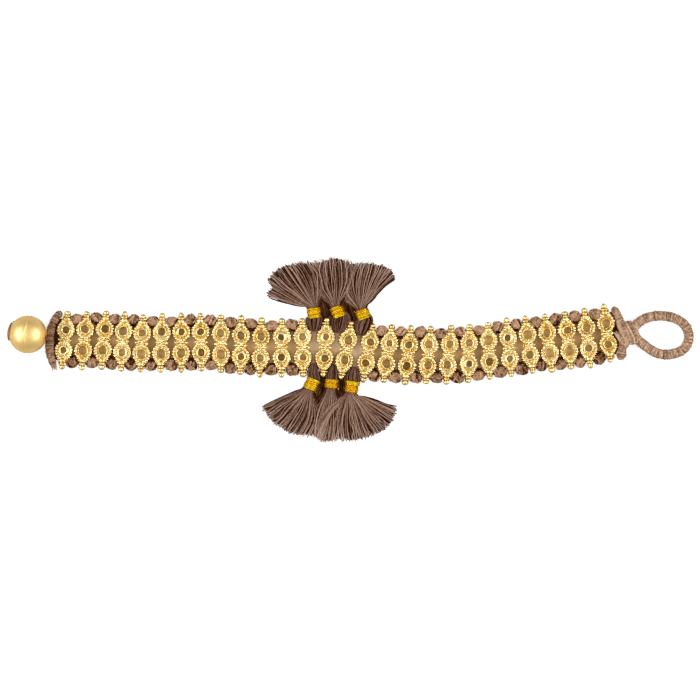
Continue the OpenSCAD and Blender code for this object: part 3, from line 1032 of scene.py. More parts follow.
    def waist(self) -> None:
        """Add the low bridge between the two rings, with a few grains on it."""
        half_u, half_v = self.waist_size
        corners = [(-half_u, -half_v), (half_u, -half_v), (half_u, half_v), (-half_u, half_v)]
        self.slab(corners, self.thickness - 0.2)
        for u in (-1.55, -1.05, -0.5, 0.0, 0.5, 1.05, 1.55):
            spot = self.on_top(u + self.rng.uniform(-0.1, 0.1), self.rng.uniform(-0.15, 0.15), 0.1)
            self.pearl(spot, self.rng.uniform(0.28, 0.38))

    def shoulder(self, side: Side) -> None:
        """Add the grained shoulder that carries one finial.

        Args:
            side: the side of the band that the finial is on.
        """
        way = side.value
        start, end = SHOULDERS[side], self.shoulder_end
        near, far = self.ring_centre + 1.4, self.ring_centre + 3.2
        outline = [(-start, way * near), (start, way * near), (end, way * far), (-end, way * far)]
        self.slab(outline[::way], self.thickness - 0.15)
        for share in (0.25, 0.55, 0.85):
            for hand in (-1, 1):
                u = hand * (start + (end - start) * share)
                spot = self.on_top(u, way * (near + (far - near) * share), 0.2)
                self.pearl(spot, self.rng.uniform(0.3, 0.38))
        self.pearl(self.on_top(0.0, way * (near + 0.95), 0.2), 0.36)

    def finial(self, side: Side) -> None:
        """Add the two grained collars of one end and the ball at its tip.

        Args:
            side: the side of the band that the finial is on.
        """
        rng, outwards = self.rng, side.value * self.seat.length_way
        rows = FINIAL.copy()
        groove = rows[GROOVE_ROW, 1]
        rows[GROOVE_ROW:, 1] = groove + (rows[GROOVE_ROW:, 1] - groove) * rng.uniform(0.74, 1.0)
        rows[NECK_ROW:, 0] *= rng.uniform(0.85, 1.15)
        centre = self.seat.at(0, 0, self.collar_height)
        # Painted shade from the table, deepest in the grooves and behind the ball
        self.form.add_turned(rows[:, :2], centre, outwards, UP, 18, recess=rows[:, 2])
        # Place along the bead, distance off its axis, number of grains
        for along, off_axis, count in ((5.85, 1.12, 5), (rows[COLLAR_ROW, 1], 1.02, 4),
                                       (rows[BALL_ROW, 1], 0.66, 3)):
            for i in range(count):
                angle = math.pi * (i + rng.uniform(0.3, 0.7)) / count
                off = math.cos(angle) * self.seat.across + math.sin(angle) * UP
                self.pearl(centre + along * outwards + off_axis * off, rng.uniform(0.24, 0.36), 6)

    def build(self) -> None:
        """Build both rings and ends and the waist, uneven as they were cast."""
        for side in Side:
            self.ring(side)
            self.groove_grains(side)
            self.rim_grains(side)
            self.shoulder(side)
            self.finial(side)
        self.waist()
        self.form.roughen(0.1, 0.8, self.number)
        self.form.roughen(0.06, 0.35, self.number)


# The tape behind the beads


@dataclass(kw_only=True)
class SuedeTape(Piece):
    """The flat tape: full thickness behind the beads, thin soft edges under the knots."""

    slot: Slot = Slot.TAPE
    row: BeadRow
    thickness: float = 1.0
    edge_thickness: float = 0.5
    points: int = 560
    # Between these places along the band it is greyer, and outside the next two it is in shade
    grey_places: tuple[float, float] = (-29.0, -2.0)
    lit_places: tuple[float, float] = (-79.9, 71.9)
    grey_share: float = 0.75
    # Radii of a ring's hole and rim, and of the gap inside a knot, where painted shade and a painted golden
    # light mark the tape
    hole_reach: float = 1.4
    rim_reach: float = 3.05
    gap_reach: float = 2.2

    def section(self) -> list[tuple[bool, float, float]]:
        """List the section's points, anticlockwise as seen from the loop.

        Returns:
            Rows of whether on the wide layer, share of the width, and share of the thickness.
        """
        thin = self.edge_thickness / self.thickness
        top = [(False, s, 1.0) for s in np.linspace(0.97, 0.03, 28)]
        bottom = [(True, s, 0.0) for s in np.linspace(0.02, 0.98, 8)]
        return [
            (True, 1.0, thin / 2), (True, 0.99, thin), (False, 1.0, thin + 0.05), (False, 0.99, 0.95),
            *top,
            (False, 0.01, 0.95), (False, 0.0, thin + 0.05), (True, 0.01, thin), (True, 0.0, thin / 2),
            *bottom,
        ]

    def build(self) -> None:
        """Build the tape between the long edges of its node."""
        points = node_points(self.node)
        layers = (points[:, 2] < 0.1 * self.thickness, points[:, 2] > 0.9 * self.thickness)
        wide, narrow = (self.long_edges(points[layer]) for layer in layers)
        section = self.section()
        rings = np.zeros((self.points, len(section), 3))
        for j, (on_wide, side, rise) in enumerate(section):
            front, back = wide if on_wide else narrow
            rings[:, j, :2] = front + (back - front) * side
            rings[:, j, 2] = rise * self.thickness
        x = rings[..., 0]
        greyer = np.clip(np.minimum(x - self.grey_places[0], self.grey_places[1] - x) / 6, 0, 1)
        # Painted shade past each end of the row of beads
        past_beads = np.maximum(self.lit_places[0] - x, x - self.lit_places[1])
        shaded = np.clip(past_beads, 0.0, 1.2) / 1.2
        # Painted shade on every point below the upper face: the sides, the thin edges and the underside
        edges = np.where([rise > 0.9 for _, _, rise in section], 0.0, 0.9)
        under, painted_gold_light = self.marks(rings)
        shade = np.maximum(np.maximum(edges, shaded), under)
        # The tape's painted shade and its painted golden light go into its masks here
        self.form.add_rings(rings, tone=greyer * self.grey_share, recess=shade, tip=painted_gold_light)
        self.form.roughen(0.05, 1.4, 3)

    def marks(self, points: Array) -> tuple[Array, Array]:
        """Find where the beads shade the tape, and where it takes their golden light.

        Args:
            points: points of the tape.

        Returns:
            How dark each point is, and how golden.
        """
        under, painted_gold_light = np.zeros(points.shape[:-1]), np.zeros(points.shape[:-1])
        for seat in self.row.seats:
            for side in Side:
                centre = seat.at(0.0, side.value * CastBead.ring_centre, 0.0)
                away = np.linalg.norm(points[..., :2] - centre[:2], axis=-1)
                hole = np.clip((self.hole_reach - away) / 0.2, 0.0, 1.0)
                rim = np.clip((self.rim_reach - away) / 0.4, 0.0, 1.0)
                rim = rim * np.clip((away - 1.25) / 0.2, 0.0, 1.0)
                # Painted shade under each ring's rim, and in each hole a painted shade of random depth, none
                # in some
                under = np.maximum(under, np.maximum(0.35 * rim, self.rng.uniform(-0.4, 0.65) * hole))
                # A painted golden light in each hole
                painted_gold_light = np.maximum(painted_gold_light, self.rng.uniform(0.6, 1.0) * hole)
        for k in KNOT_GAPS:
            away = np.linalg.norm(points[..., :2] - self.row.gap_seat(k).middle[:2], axis=-1)
            gap = np.clip((self.gap_reach - away) / 0.6, 0.0, 1.0)
            # In the gap inside each knot: a painted shade of random depth and a painted golden light
            under = np.maximum(under, self.rng.uniform(0.1, 0.5) * gap)
            painted_gold_light = np.maximum(painted_gold_light, 0.8 * gap)
        return under, painted_gold_light

    def long_edges(self, points: Array) -> tuple[Array, Array]:
        """Find the long edges of one layer.

        Args:
            points: the layer's points.

        Returns:
            The front and the back edge, as evenly spaced points.
        """
        beads = np.array([seat.middle for seat in self.row.seats])
        is_back = points[:, 1] > np.interp(points[:, 0], beads[:, 0], beads[:, 1])
        edges = []
        for edge in (points[~is_back], points[is_back]):
            ordered = edge[np.argsort(edge[:, 0])]
            x = np.linspace(ordered[0, 0], ordered[-1, 0], self.points)
            edges.append(np.stack([x, np.interp(x, ordered[:, 0], ordered[:, 1])], axis=-1))
        return edges[0], edges[1]


# Wound cords

# Routes of the two end cords: x, y, share of the full radius
BUTTON_END_ROUTE = [
    (-80.25, 10.55, 0.5), (-80.8, 10.05, 0.95), (-82.0, 8.5, 1.05), (-82.9, 6.6, 1.0), (-83.45, 4.4, 1.08),
    (-83.5, 1.9, 1.14), (-83.45, -0.6, 1.14), (-83.0, -2.4, 1.05), (-82.55, -3.8, 0.9), (-82.25, -4.8, 0.55),
]
LOOP_END_ROUTE = [
    (72.4, 11.7, 0.5), (72.9, 11.2, 0.9), (73.75, 9.95, 1.0), (74.65, 7.8, 1.0), (75.2, 5.2, 1.0),
    (75.3, 2.4, 1.0), (75.2, 0.4, 1.05), (74.9, -1.1, 1.2), (74.8, -2.1, 1.05), (74.8, -2.7, 0.6),
]
# The loop's route: x, y
LOOP_ROUTE = [
    (78.5, 6.5), (81.1, 8.5), (84.0, 9.4), (86.8, 9.45), (89.8, 8.8), (92.4, 7.1), (93.6, 4.7),
    (93.5, 2.2), (92.1, 0.1), (89.7, -1.0), (86.8, -1.3), (84.2, -0.6), (81.7, 1.05), (78.95, 3.25),
]
# Threads that cross over the loop's end cord towards the neck: x, y, height; and each one's tone
LOOP_CROSSINGS = [
    [(73.2, 5.0, 2.9), (73.9, 4.1, 3.5), (75.0, 2.7, 3.75), (76.2, 1.3, 3.2), (76.6, 0.9, 2.4)],
    [(73.9, 7.9, 3.2), (74.5, 6.2, 3.75), (75.4, 4.3, 3.9), (76.4, 2.7, 3.7), (77.2, 1.7, 2.7)],
]
CROSSING_TONES = (0.3, 0.5, 0.6, 0.3, 0.55, 0.35, 0.45)
# The neck's middle line: x, y and height, half width across it, half height
NECK_ROWS = [
    (75.8, 4.1, 2.2, 2.5, 1.35), (76.7, 4.45, 2.0, 3.2, 1.7), (77.7, 4.9, 1.75, 3.35, 1.65),
    (78.7, 5.3, 1.6, 2.9, 1.5), (79.5, 5.6, 1.5, 1.9, 1.1),
]


@dataclass(kw_only=True)
class WoundCord(Piece):
    """A cord of core threads wound closely with thread, laid at its own height."""

    slot: Slot = Slot.WOUND
    rows: list[tuple[float, float, float]]
    radius: float
    height: float = CastBead.floor
    winding: Winding = Winding(pitch=0.32, unevenness=0.35, contrast=0.16)
    tone: float = 0.5
    frayed_threads: int = 0
    crossings: list[list[tuple[float, float, float]]] = field(default_factory=list)

    def build(self) -> None:
        """Build the core, its winding and what lies over it."""
        fine = smooth_route(self.rows, 8)
        full = np.maximum(1.0, fine[:, 2])
        route = np.column_stack([fine[:, :2], self.radius * full + self.height, fine[:, 2]])
        even = evenly(route, 0.4)
        middle, share = even[:, :3], even[:, 3]
        outer = self.radius * share - self.winding.thread / 2
        # The core lies in painted shade, which shows between the turns
        self.form.add_core(middle, outer - 0.04, outer - 0.04, recess=0.8, tone=0.3)
        self.wind(self.winding, middle, outer, outer, base_tone=self.tone)
        self.fray(middle)
        for crossing in self.crossings:
            self.cross_over(crossing)

    def fray(self, middle: Array) -> None:
        """Add the loose pale threads at the cord's cut end.

        Args:
            middle: points of the cord's middle line.
        """
        rng = self.rng
        way = unit(middle[-1] - middle[-4])
        across = np.cross(UP, way)
        for _ in range(self.frayed_threads):
            reach = rng.uniform(0.5, 1.5)
            aside = rng.uniform(-0.8, 0.8)
            start = middle[-2] + aside * across * 0.7 + rng.uniform(-0.45, 0.45) * UP
            bend = way * reach + across * aside * 0.5 - UP * rng.uniform(0.2, 0.9)
            s = np.linspace(0.0, 1.0, 6)[:, None]
            path = start + s * bend + 0.12 * s ** 2 * rng.normal(size=3)
            self.form.add_tubes(path, 0.09, UP, 4, tone=rng.uniform(0.5, 1.0), tip=0.75 * s[:, 0])

    def cross_over(self, crossing: list[tuple[float, float, float]]) -> None:
        """Add a band of threads that crosses slantwise over the cord, one beside the other.

        Args:
            crossing: the route of the band's middle.
        """
        path = evenly(smooth_route(crossing, 6), 0.2)
        across = unit(np.cross(UP, np.gradient(path, axis=0)))
        spacing = 0.24 * (0.6 + 0.4 * np.sin(np.linspace(0.0, math.pi, len(path))))
        for i, tone in enumerate(CROSSING_TONES):
            place = i - len(CROSSING_TONES) // 2
            moved = path + (place * spacing)[:, None] * across + self.rng.normal(0.0, 0.03, 3)
            self.form.add_tubes(moved - UP * 0.035 * place ** 2, 0.16, UP, 6, tone=tone)


@dataclass(kw_only=True)
class LoopNeck(Piece):
    """The neck: a bundle wound slantwise, which binds both of the loop's legs to the end cord."""

    slot: Slot = Slot.WOUND
    winding: Winding = Winding(thread=0.24, pitch=0.25, around=44, contrast=0.35, alike=2)

    def build(self) -> None:
        """Build the core and its winding."""
        fine = evenly(smooth_route(NECK_ROWS, 5), 0.2)
        route, width, height = fine[:, :3], fine[:, 3], fine[:, 4]
        # The core lies in painted shade, which shows between the turns
        self.form.add_core(route, width - 0.06, height - 0.06, sides=24, recess=0.7, tone=0.35)
        self.wind(self.winding, route, width, height)


# The knotted edges

# How far in from the edge thread each side's knots lie, and their tones: least and most
KNOT_INSETS = {Side.BACK: (0.0, 0.7), Side.FRONT: (-0.1, 0.4)}
KNOT_TONES = {Side.BACK: (0.5, 0.72), Side.FRONT: (0.26, 0.54)}


@dataclass(kw_only=True)
class KnottedEdge(Piece):
    """One edge of the band: a row of wound knots that fill the room between the finials."""

    slot: Slot = Slot.KNOT
    side: Side
    row: BeadRow
    radius: float = 1.42
    # Room that a finial takes beside a knot, and how much a knot narrows to its ends
    finial_room: float = 1.2
    rounding: float = 0.82
    flatness: float = 0.93
    # How far along the beads the threads under a knot run, and how many they are
    taper_reach: float = 4.3
    taper_threads: int = 15
    winding: Winding = Winding(thread=0.28, pitch=0.27, around=14, sides=4, contrast=0.42, alike=2)

    def knot(self, k: int) -> None:
        """Add the knot between bead k and the next: a core, its winding and its crossing strands.

        Args:
            k: the bead before it, counted from 1.
        """
        rng = self.rng
        start, end = self.row.thread_point(k, self.side), self.row.thread_point(k + 1, self.side)
        way = unit(end - start)
        half = np.linalg.norm(end - start) / 2 - self.finial_room
        outward = self.side.value * np.cross(UP, way)
        middle = (start + end) / 2 - outward * rng.uniform(*KNOT_INSETS[self.side])
        s = np.linspace(-1.0, 1.0, 15)
        size = self.radius * rng.uniform(0.98, 1.12) - self.winding.thread / 2
        lean = rng.uniform(-0.3, 0.3)
        route = middle + (s * half)[:, None] * way + (lean * s * half)[:, None] * outward
        across = size * np.sqrt(1 - self.rounding * s ** 2)
        high = across * self.flatness
        # The core lies in painted shade, which shows between the turns
        self.form.add_core(route, across - 0.05, high - 0.05, recess=0.9, tone=0.2)
        tone = rng.uniform(*KNOT_TONES[self.side])
        slant = rng.uniform(-0.8, 0.8)
        self.wind(self.winding, route, across, high, slant=slant, base_tone=tone)
        self.taper(k, middle, half)
        angle = np.radians(np.linspace(-75, 75, 13)) + rng.uniform(-0.3, 0.3)
        off = around(angle, UP, outward)
        for j in range(int(rng.integers(2, 6))):
            shift = (j - 2) * 0.25
            run = np.clip(np.linspace(-0.8, 0.8, 13) * math.copysign(1.0, slant) + shift, -0.85, 0.85)
            reach = size * np.sqrt(1 - self.rounding * run ** 2) + 0.12
            path = middle + (run * half)[:, None] * way + reach[:, None] * off
            self.form.add_tubes(path, 0.13, off, 5, tone=tone + rng.uniform(0.0, 0.3))

    def taper(self, k: int, middle: Array, half: float) -> None:
        """Add the threads that run from a knot inwards, to a point between the two rings.

        Args:
            k: the bead before the knot.
            middle: the knot's middle.
            half: half its length.
        """
        rng, seat = self.rng, self.row.gap_seat(k)
        point = seat.at(rng.uniform(-0.2, 0.2), self.side.value * self.taper_reach, 1.25)
        for share in np.linspace(-1.0, 1.0, self.taper_threads):
            near = middle + share * half * 0.85 * seat.across - UP * (0.2 + 0.5 * share ** 2)
            path = near + np.linspace(0.0, 1.0, 5)[:, None] * (point + 0.25 * share * seat.across - near)
            # Painted shade that deepens towards the point between the rings
            shade = np.linspace(0.3, 0.9, 5)
            self.form.add_tubes(path, 0.16, UP, 5, tone=rng.uniform(0.1, 0.5), recess=shade)

    def build(self) -> None:
        """Build the knots of this edge, each pressed a little out of shape."""
        for k in KNOT_GAPS:
            self.knot(k)
        self.form.roughen(0.22, 1.5, self.side.value)


@dataclass(kw_only=True)
class EdgeThread(Piece):
    """The twisted thread that runs through the finials and knots of one edge."""

    slot: Slot = Slot.EDGE
    side: Side
    row: BeadRow
    radius: float = 0.11
    twist: float = 1.3
    tail: float = 1.15
    step: float = 0.24

    def build(self) -> None:
        """Build two plies twisted round each other."""
        points = np.array([self.row.thread_point(k, self.side) for k in range(1, BEADS + 1)])
        tail = self.tail * self.row.seats[0].across
        route = evenly(np.vstack([points[0] - tail, points, points[-1] + tail]), self.step)
        across = unit(np.cross(UP, np.gradient(route, axis=0)))
        for ply in (0.0, math.pi):
            angle = 2 * math.pi * (np.arange(len(route)) * self.step) / self.twist + ply
            off = around(angle, across, UP)
            self.form.add_tubes(route + self.radius * 0.85 * off, self.radius, off, 5, tone=0.5)


# The tassels


@dataclass(frozen=True)
class TasselPlan:
    """Where one tassel hangs and how its fan spreads."""

    number: int
    side: Side
    binding: tuple[float, float]
    neck_turn: float
    binding_length: float
    tips: tuple[tuple[float, float], ...]
    bows: tuple[float, float]
    neighbours: tuple[bool, bool]
    threads: int
    head: float
    swept: tuple[tuple[float, float, float, int], ...] = ()

    @property
    def name(self) -> str:
        """Return the tassel's side and number."""
        return f"{self.side.name.lower()}_{self.number}"

    @property
    def middle(self) -> Array:
        """Return the middle of its binding."""
        return np.array([*self.binding, 2.05])

    @property
    def way(self) -> Array:
        """Return the direction of its neck, away from the band."""
        return turned(np.array(self.neck_turn))

    @property
    def way_on(self) -> float:
        """Return 1 where the fan's angles grow from its first thread to its last, or else -1."""
        return math.copysign(1.0, self.tips[-1][0] - self.tips[0][0])

    @property
    def root(self) -> Array:
        """Return the middle of the binding's far end, where the threads come out."""
        return self.middle + (self.binding_length / 2 + 0.1) * self.way

    def tip(self, t: Array) -> tuple[Array, Array]:
        """Look up the fan's outline.

        Args:
            t: share of the way from the fan's first thread to its last.

        Returns:
            The angle and the reach of the tip there.
        """
        angles, reaches = np.array(self.tips).T
        turn = angles[0] + t * (angles[-1] - angles[0])
        order = np.argsort(angles)
        return turn, np.interp(turn, angles[order], reaches[order])


# number, side, binding x and y, neck angle, binding length, angle and reach of the fan's tips, bow of
# its first and last thread, whether a tassel hangs beside it there, threads, half width of its
# head, and the threads that sweep over the tassel before it: first and last angle, reach, threads
TASSELS = [
    TasselPlan(1, Side.BACK, (-10.2, 10.3), 96, 2.7,
               ((165, 13.4), (159, 13.2), (153, 12.8), (147, 15.0), (140, 14.8), (131, 14.5), (116, 13.6),
                (103, 13.2), (88, 13.0)), (3, -22), (False, True), 400, 2.5),
    TasselPlan(2, Side.BACK, (-3.6, 10.5), 112, 2.9,
               ((114, 14.0), (96, 13.5), (83, 13.5), (73, 13.6)), (22, -22), (True, True), 250, 3.1),
    TasselPlan(3, Side.BACK, (3.25, 9.9), 109, 2.7,
               ((105, 14.2), (90, 13.2), (76, 12.9), (62, 13.6), (50, 13.5), (43, 12.9)), (22, 5),
               (True, False), 340, 2.7, ((128, 106, 9.5, 12),)),
    TasselPlan(1, Side.FRONT, (-10.9, -9.5), 244, 3.0,
               ((199, 13.9), (208, 13.7), (225, 13.4), (241, 13.1), (256, 13.3), (268, 13.5)), (0, 18),
               (False, True), 370, 1.6),
    TasselPlan(2, Side.FRONT, (-5.4, -9.4), 264, 2.3,
               ((252, 14.6), (262, 14.8), (275, 14.6)), (-14, 12), (True, True), 190, 1.6),
    TasselPlan(3, Side.FRONT, (0.2, -10.2), 258, 3.1,
               ((246, 14.6), (255, 14.0), (269, 13.6), (282, 13.2), (296, 13.4), (311, 13.8), (320, 14.2),
                (329, 13.9), (341, 13.7)), (-9, 0), (True, False), 430, 2.2,
               ((222, 240, 15.9, 30),)),
]
# How deep in shade each side's heads lie
HEAD_SHADES = {Side.BACK: 0.78, Side.FRONT: 0.82}


@dataclass(kw_only=True)
class ThreadTassel(Piece):
    """One tassel: a fan of cut threads, the neck they leave and the head that hangs on the band."""

    slot: Slot = Slot.TASSEL
    plan: TasselPlan
    row: BeadRow
    thread: float = 0.22
    points: int = 11
    root_spread: float = 1.7
    strays: int = 16
    filling: int = 130
    head_strands: int = 40

    def fan(self) -> None:
        """Add the fan of threads, from inside the binding to their cut tips."""
        plan, rng, count = self.plan, self.rng, self.plan.threads
        # Steps of the golden section keep each layer's threads evenly spread
        t = np.mod(np.arange(count) * 0.618034 + rng.uniform(0.0, 0.01, count), 1.0)
        layer = np.linspace(-1.0, 1.0, count)
        low = np.clip((0.95 - layer) / 0.4, 0.0, 1.0)
        beyond = np.where(t < 0.5, plan.neighbours[0], -1.0 * plan.neighbours[1]) * (2 * t - 1) ** 2
        clump = np.interp(t * 19, np.arange(21), rng.normal(0.0, 0.6, 21))
        turn, reach = plan.tip(t)
        turn = turn + clump * (1 - low) + rng.normal(0.0, 1.4, count) - plan.way_on * beyond * (3 + 12 * low)
        bow = np.where(t < 0.5, plan.bows[0] * (1 - 2 * t), plan.bows[1] * (2 * t - 1))
        reach = reach * (1 - 0.02 * low + rng.normal(-0.01, 0.025, count)) * (1 - 0.1 * low * np.abs(beyond))
        self.threads_out(t, layer, low, turn, bow, reach)

    def sweep(self) -> None:
        """Add the threads that sweep over the tassel before this one."""
        rng = self.rng
        for first, last, reach_of_all, many in self.plan.swept:
            turn = np.linspace(first, last, many) + rng.normal(0.0, 0.8, many)
            high, low = np.full(many, 1.15), rng.choice([0.0, 0.5], many, p=[0.7, 0.3])
            reach = reach_of_all * (1 + rng.normal(0.0, 0.02, many))
            bow = np.full(many, self.plan.bows[0])
            self.threads_out(np.linspace(0.0, 0.25, many), high, low, turn, bow, reach)

    def threads_out(self, t: Array, layer: Array, low: Array, turn: Array, bow: Array, reach: Array) -> None:
        """Add threads that leave the binding.

        Args:
            t: each thread's share of the way across the fan.
            layer: its layer, -1 lowest and 1 highest.
            low: how far it lies in the shade of the others.
            turn: the direction of its tip.
            bow: how far it bows aside on the way, in degrees.
            reach: how far its tip is from the binding.
        """
        plan, rng, count = self.plan, self.rng, len(t)
        round_off = np.sqrt(1 - 0.5 * np.minimum(np.abs(layer), 1.0) ** 2)
        sideways = np.cross(UP, plan.way) * plan.way_on
        root = plan.root + ((2 * t - 1) * self.root_spread * round_off)[:, None] * sideways
        s = np.linspace(0.0, 1.0, self.points)
        hump = np.interp(s, [0.0, 0.2, 0.42, 0.7, 1.0], [0.0, 0.7, 1.0, 0.6, 0.0])
        swing = np.sin(2 * math.pi * (rng.uniform(0.8, 2.6, (count, 1)) * s + rng.uniform(0, 1, (count, 1))))
        aim = plan.root + reach[:, None] * turned(turn) - root
        bend = np.radians(bow[:, None] * hump + rng.normal(0.0, 0.9, (count, 1)) * swing)[..., None]
        ways = aim[:, None, :] + bend * np.cross(UP, aim)[:, None, :]
        leave = np.exp(-(s / 0.09) ** 2)[None, :, None]
        path = root[:, None, :] + s[:, None] * (leave * plan.way * reach[:, None, None] + (1 - leave) * ways)
        height, half = (np.interp(s, [0.0, 0.42, 0.93, 1.0], levels)
                        for levels in ([2.05, 1.6, 1.05, 0.95], [1.2, 1.25, 0.8, 0.7]))
        edge = np.sqrt(1 - 0.8 * (2 * t - 1) ** 4)
        path[..., 2] = height + half * (layer * edge)[:, None] + rng.normal(0.0, 0.12, (count, 1)) * s
        path[..., 2] = np.maximum(path[..., 2], self.thread * 0.6)
        # Two more points hold each thread inside the binding
        inward = np.array([0.6, 0.25])[None, :, None] * plan.binding_length
        path = np.concatenate([path[:, :1, :] - plan.way * inward, path], axis=1)
        share = np.concatenate([[0.0, 0.0], s])
        size = self.thread / 2 * rng.uniform(0.65, 0.95, (count, 1)) * (1 + low[:, None])
        radii = size * np.interp(share, [0.0, 0.3, 0.95, 1.0], [0.75, 1.0, 1.0, 0.7])
        # Painted shade: threads low in the fan get a darker tone and shade, less at their tips, and every
        # thread is shaded near the binding
        tone = np.clip(rng.normal(0.75, 0.22, (count, 1)) * (1 - 0.67 * np.sqrt(low[:, None])), 0.0, 1.0)
        open_tip = np.interp(share, [0.0, 0.25, 0.9, 1.0], [0.65, 0.86, 0.86, 0.3])
        shade = np.clip(low[:, None] * open_tip + 0.4 * np.exp(-(share / 0.2) ** 2), 0.0, 1.0)
        paler = share * (1 - 0.5 * low[:, None])
        self.form.add_tubes(path, radii, UP, 4, tone=tone * np.ones_like(radii), tip=paler, recess=shade)

    def stray(self) -> None:
        """Add one thin fibre that stands away from the fan's edge."""
        rng, plan = self.rng, self.plan
        turn, reach = plan.tip(np.array(rng.uniform(0.0, 1.0)))
        s = np.linspace(0.7, rng.uniform(1.0, 1.05), 8)
        ways = turned(turn + rng.normal(0, 8) * (s - 0.7) ** 2 * 10)
        path = plan.root + (reach * s)[:, None] * ways
        path[:, 2] = rng.uniform(0.6, 1.8)
        self.form.add_tubes(path, 0.05, UP, 3, tone=0.8, tip=1.0)

    def fill_beside(self) -> None:
        """Add the dark threads that fill the room between this neck and the next tassel's, in painted shade
        that is deepest at their feet.
        """
        rng, plan = self.rng, self.plan
        later = [other for other in TASSELS if other.side is plan.side and other.number == plan.number + 1]
        for other in later:
            for _ in range(self.filling):
                share = rng.uniform(-0.1, 1.1)
                foot, top = (one + share * (two - one) for one, two in zip(self.ends(plan), self.ends(other)))
                path = foot + np.linspace(0.0, 1.0, 8)[:, None] * (top - foot)
                path[:, 2] = rng.uniform(0.35, 1.7) + 0.1 * rng.normal(size=8)
                # Painted shade, deepest at each thread's foot
                shade = np.linspace(1.0, 0.4, 8)
                self.form.add_tubes(path, 0.2, UP, 4, tone=rng.uniform(0.0, 0.6), recess=shade)

    @staticmethod
    def ends(plan: TasselPlan) -> tuple[Array, Array]:
        """Return a point at the foot of a neck and one past its binding."""
        return plan.middle - (plan.binding_length / 2 + 2.2) * plan.way, plan.root + 3.5 * plan.way

    def head(self) -> None:
        """Add the head: threads that fold over the edge thread and narrow between two beads."""
        plan, rng = self.plan, self.rng
        seat = self.row.gap_seat(TASSEL_GAPS[plan.number - 1])
        half = plan.binding_length / 2
        # Place along the beads, height, half width as a share of the head's, half height
        folds = [(7.5, 2.15, 1.0, 1.4), (6.6, 2.2, 0.94, 1.35), (5.8, 2.2, 0.74, 1.15), (5.1, 2.0, 0.45, 0.8)]
        # Middle point, half width along the band, half height
        rows = [
            (*(plan.middle - plan.way * (half - 0.4)), 1.6, 1.35),
            (*(plan.middle - plan.way * (half + 0.1)), 0.3 + 0.8 * plan.head, 1.4),
            *((*seat.at(0.0, plan.side.value * v, z), wide * plan.head, high) for v, z, wide, high in folds),
            (*seat.at(0.0, plan.side.value * 4.6, 1.8), 0.3, 0.3),
        ]
        fine = smooth_route(rows, 4)
        route, width, height = fine[:, :3], fine[:, 3], fine[:, 4]
        # The core lies in full painted shade, which shows between the strands
        self.form.add_core(route, width - 0.12, height - 0.12, recess=1.0, tone=0.1)
        along = heading(route)
        for i in range(self.head_strands):
            angle = 2 * math.pi * (i + rng.uniform(-0.3, 0.3)) / self.head_strands
            angle = angle + rng.uniform(-0.15, 0.15) * np.linspace(0, 1, len(route))
            off = ellipse(angle, width - 0.1, height - 0.1, along)
            path = route + off * (1 + rng.uniform(-0.03, 0.03))
            tone = rng.uniform(0.0, 1.2)
            # Painted shade on every strand of the head, by side
            self.form.add_tubes(path, 0.17, unit(off), 5, tone=tone, recess=HEAD_SHADES[plan.side])

    def build(self) -> None:
        """Build the fan, its loose threads and the head."""
        self.fan()
        self.sweep()
        for _ in range(self.strays):
            self.stray()
        self.fill_beside()
        self.head()


@dataclass(kw_only=True)
class GoldBinding(Piece):
    """The gold thread wound round a tassel's neck."""

    slot: Slot = Slot.BINDING
    plan: TasselPlan
    radius: float = 2.08
    winding: Winding = Winding(thread=0.38, pitch=0.46, around=36, sides=7, unevenness=0.15, contrast=0.4)

    def build(self) -> None:
        """Build a core, a close winding and a loose one over it."""
        plan, thread = self.plan, self.winding.thread
        half = plan.binding_length / 2
        route = plan.middle + np.linspace(-1.0, 1.0, 13)[:, None] * half * plan.way
        even = np.full(len(route), self.radius - thread / 2)
        # The core lies in full painted shade, which shows between the turns
        self.form.add_core(route, even - 0.1, even - 0.1, sides=28, recess=1.0, tone=1.0)
        self.wind(self.winding, route, even - 0.02, even - 0.02, base_tone=0.12)
        loose = Winding(thread=thread * 0.6, pitch=half * 1.1, around=40, sides=6, unevenness=0.1)
        self.wind(loose, route, even + 0.1, even + 0.1, slant=0.3, base_tone=0.0)


# The ball button


@dataclass(frozen=True)
class Ball:
    """The ball's place and size."""

    centre: tuple[float, float, float] = (-89.3, 4.3, 5.37)
    diameter: float = 10.5
    wall: float = 0.5
    hole: float = 2.0
    turn: float = -11.0
    rise: float = 8.0

    @property
    def axis(self) -> Array:
        """Return the direction of the ball's hole, towards the band."""
        return raised(self.turn, self.rise)


@dataclass(kw_only=True)
class SeamedBall(Piece):
    """The hollow gold ball with its raised seam."""

    slot: Slot = Slot.BALL
    crease: float = 65.0
    ball: Ball
    seam_height: float = 0.12
    groove_depth: float = 0.05

    def build(self) -> None:
        """Turn the ball's outer and inner face in one."""
        ball, radius = self.ball, self.ball.diameter / 2
        start = math.degrees(math.asin(ball.hole / ball.diameter))
        angle = np.radians(np.concatenate([
            np.linspace(start, 86, 40), np.linspace(86.5, 93.5, 15), np.linspace(94, 180 - start, 40),
        ]))
        place = -radius * np.cos(angle)
        seam = self.seam_height * np.exp(-(place / 0.16) ** 2)
        groove = self.groove_depth * np.exp(-((np.abs(place) - 0.36) / 0.08) ** 2)
        outer = np.stack([radius * np.sin(angle) + seam - groove, place], axis=-1)
        back = angle[::-3]
        inner = (radius - ball.wall) * np.stack([np.sin(back), -np.cos(back)], axis=-1)
        profile = np.concatenate([outer, inner])
        # Painted shade: half in the grooves beside the seam, full on the inner face
        shade = np.concatenate([0.5 * groove / self.groove_depth, np.ones(len(inner))])
        self.form.add_turned(profile, np.array(ball.centre), ball.axis, unit(np.cross(UP, ball.axis)), 96,
                             closed=True, tone=profile[:, 1] / ball.diameter, recess=shade)


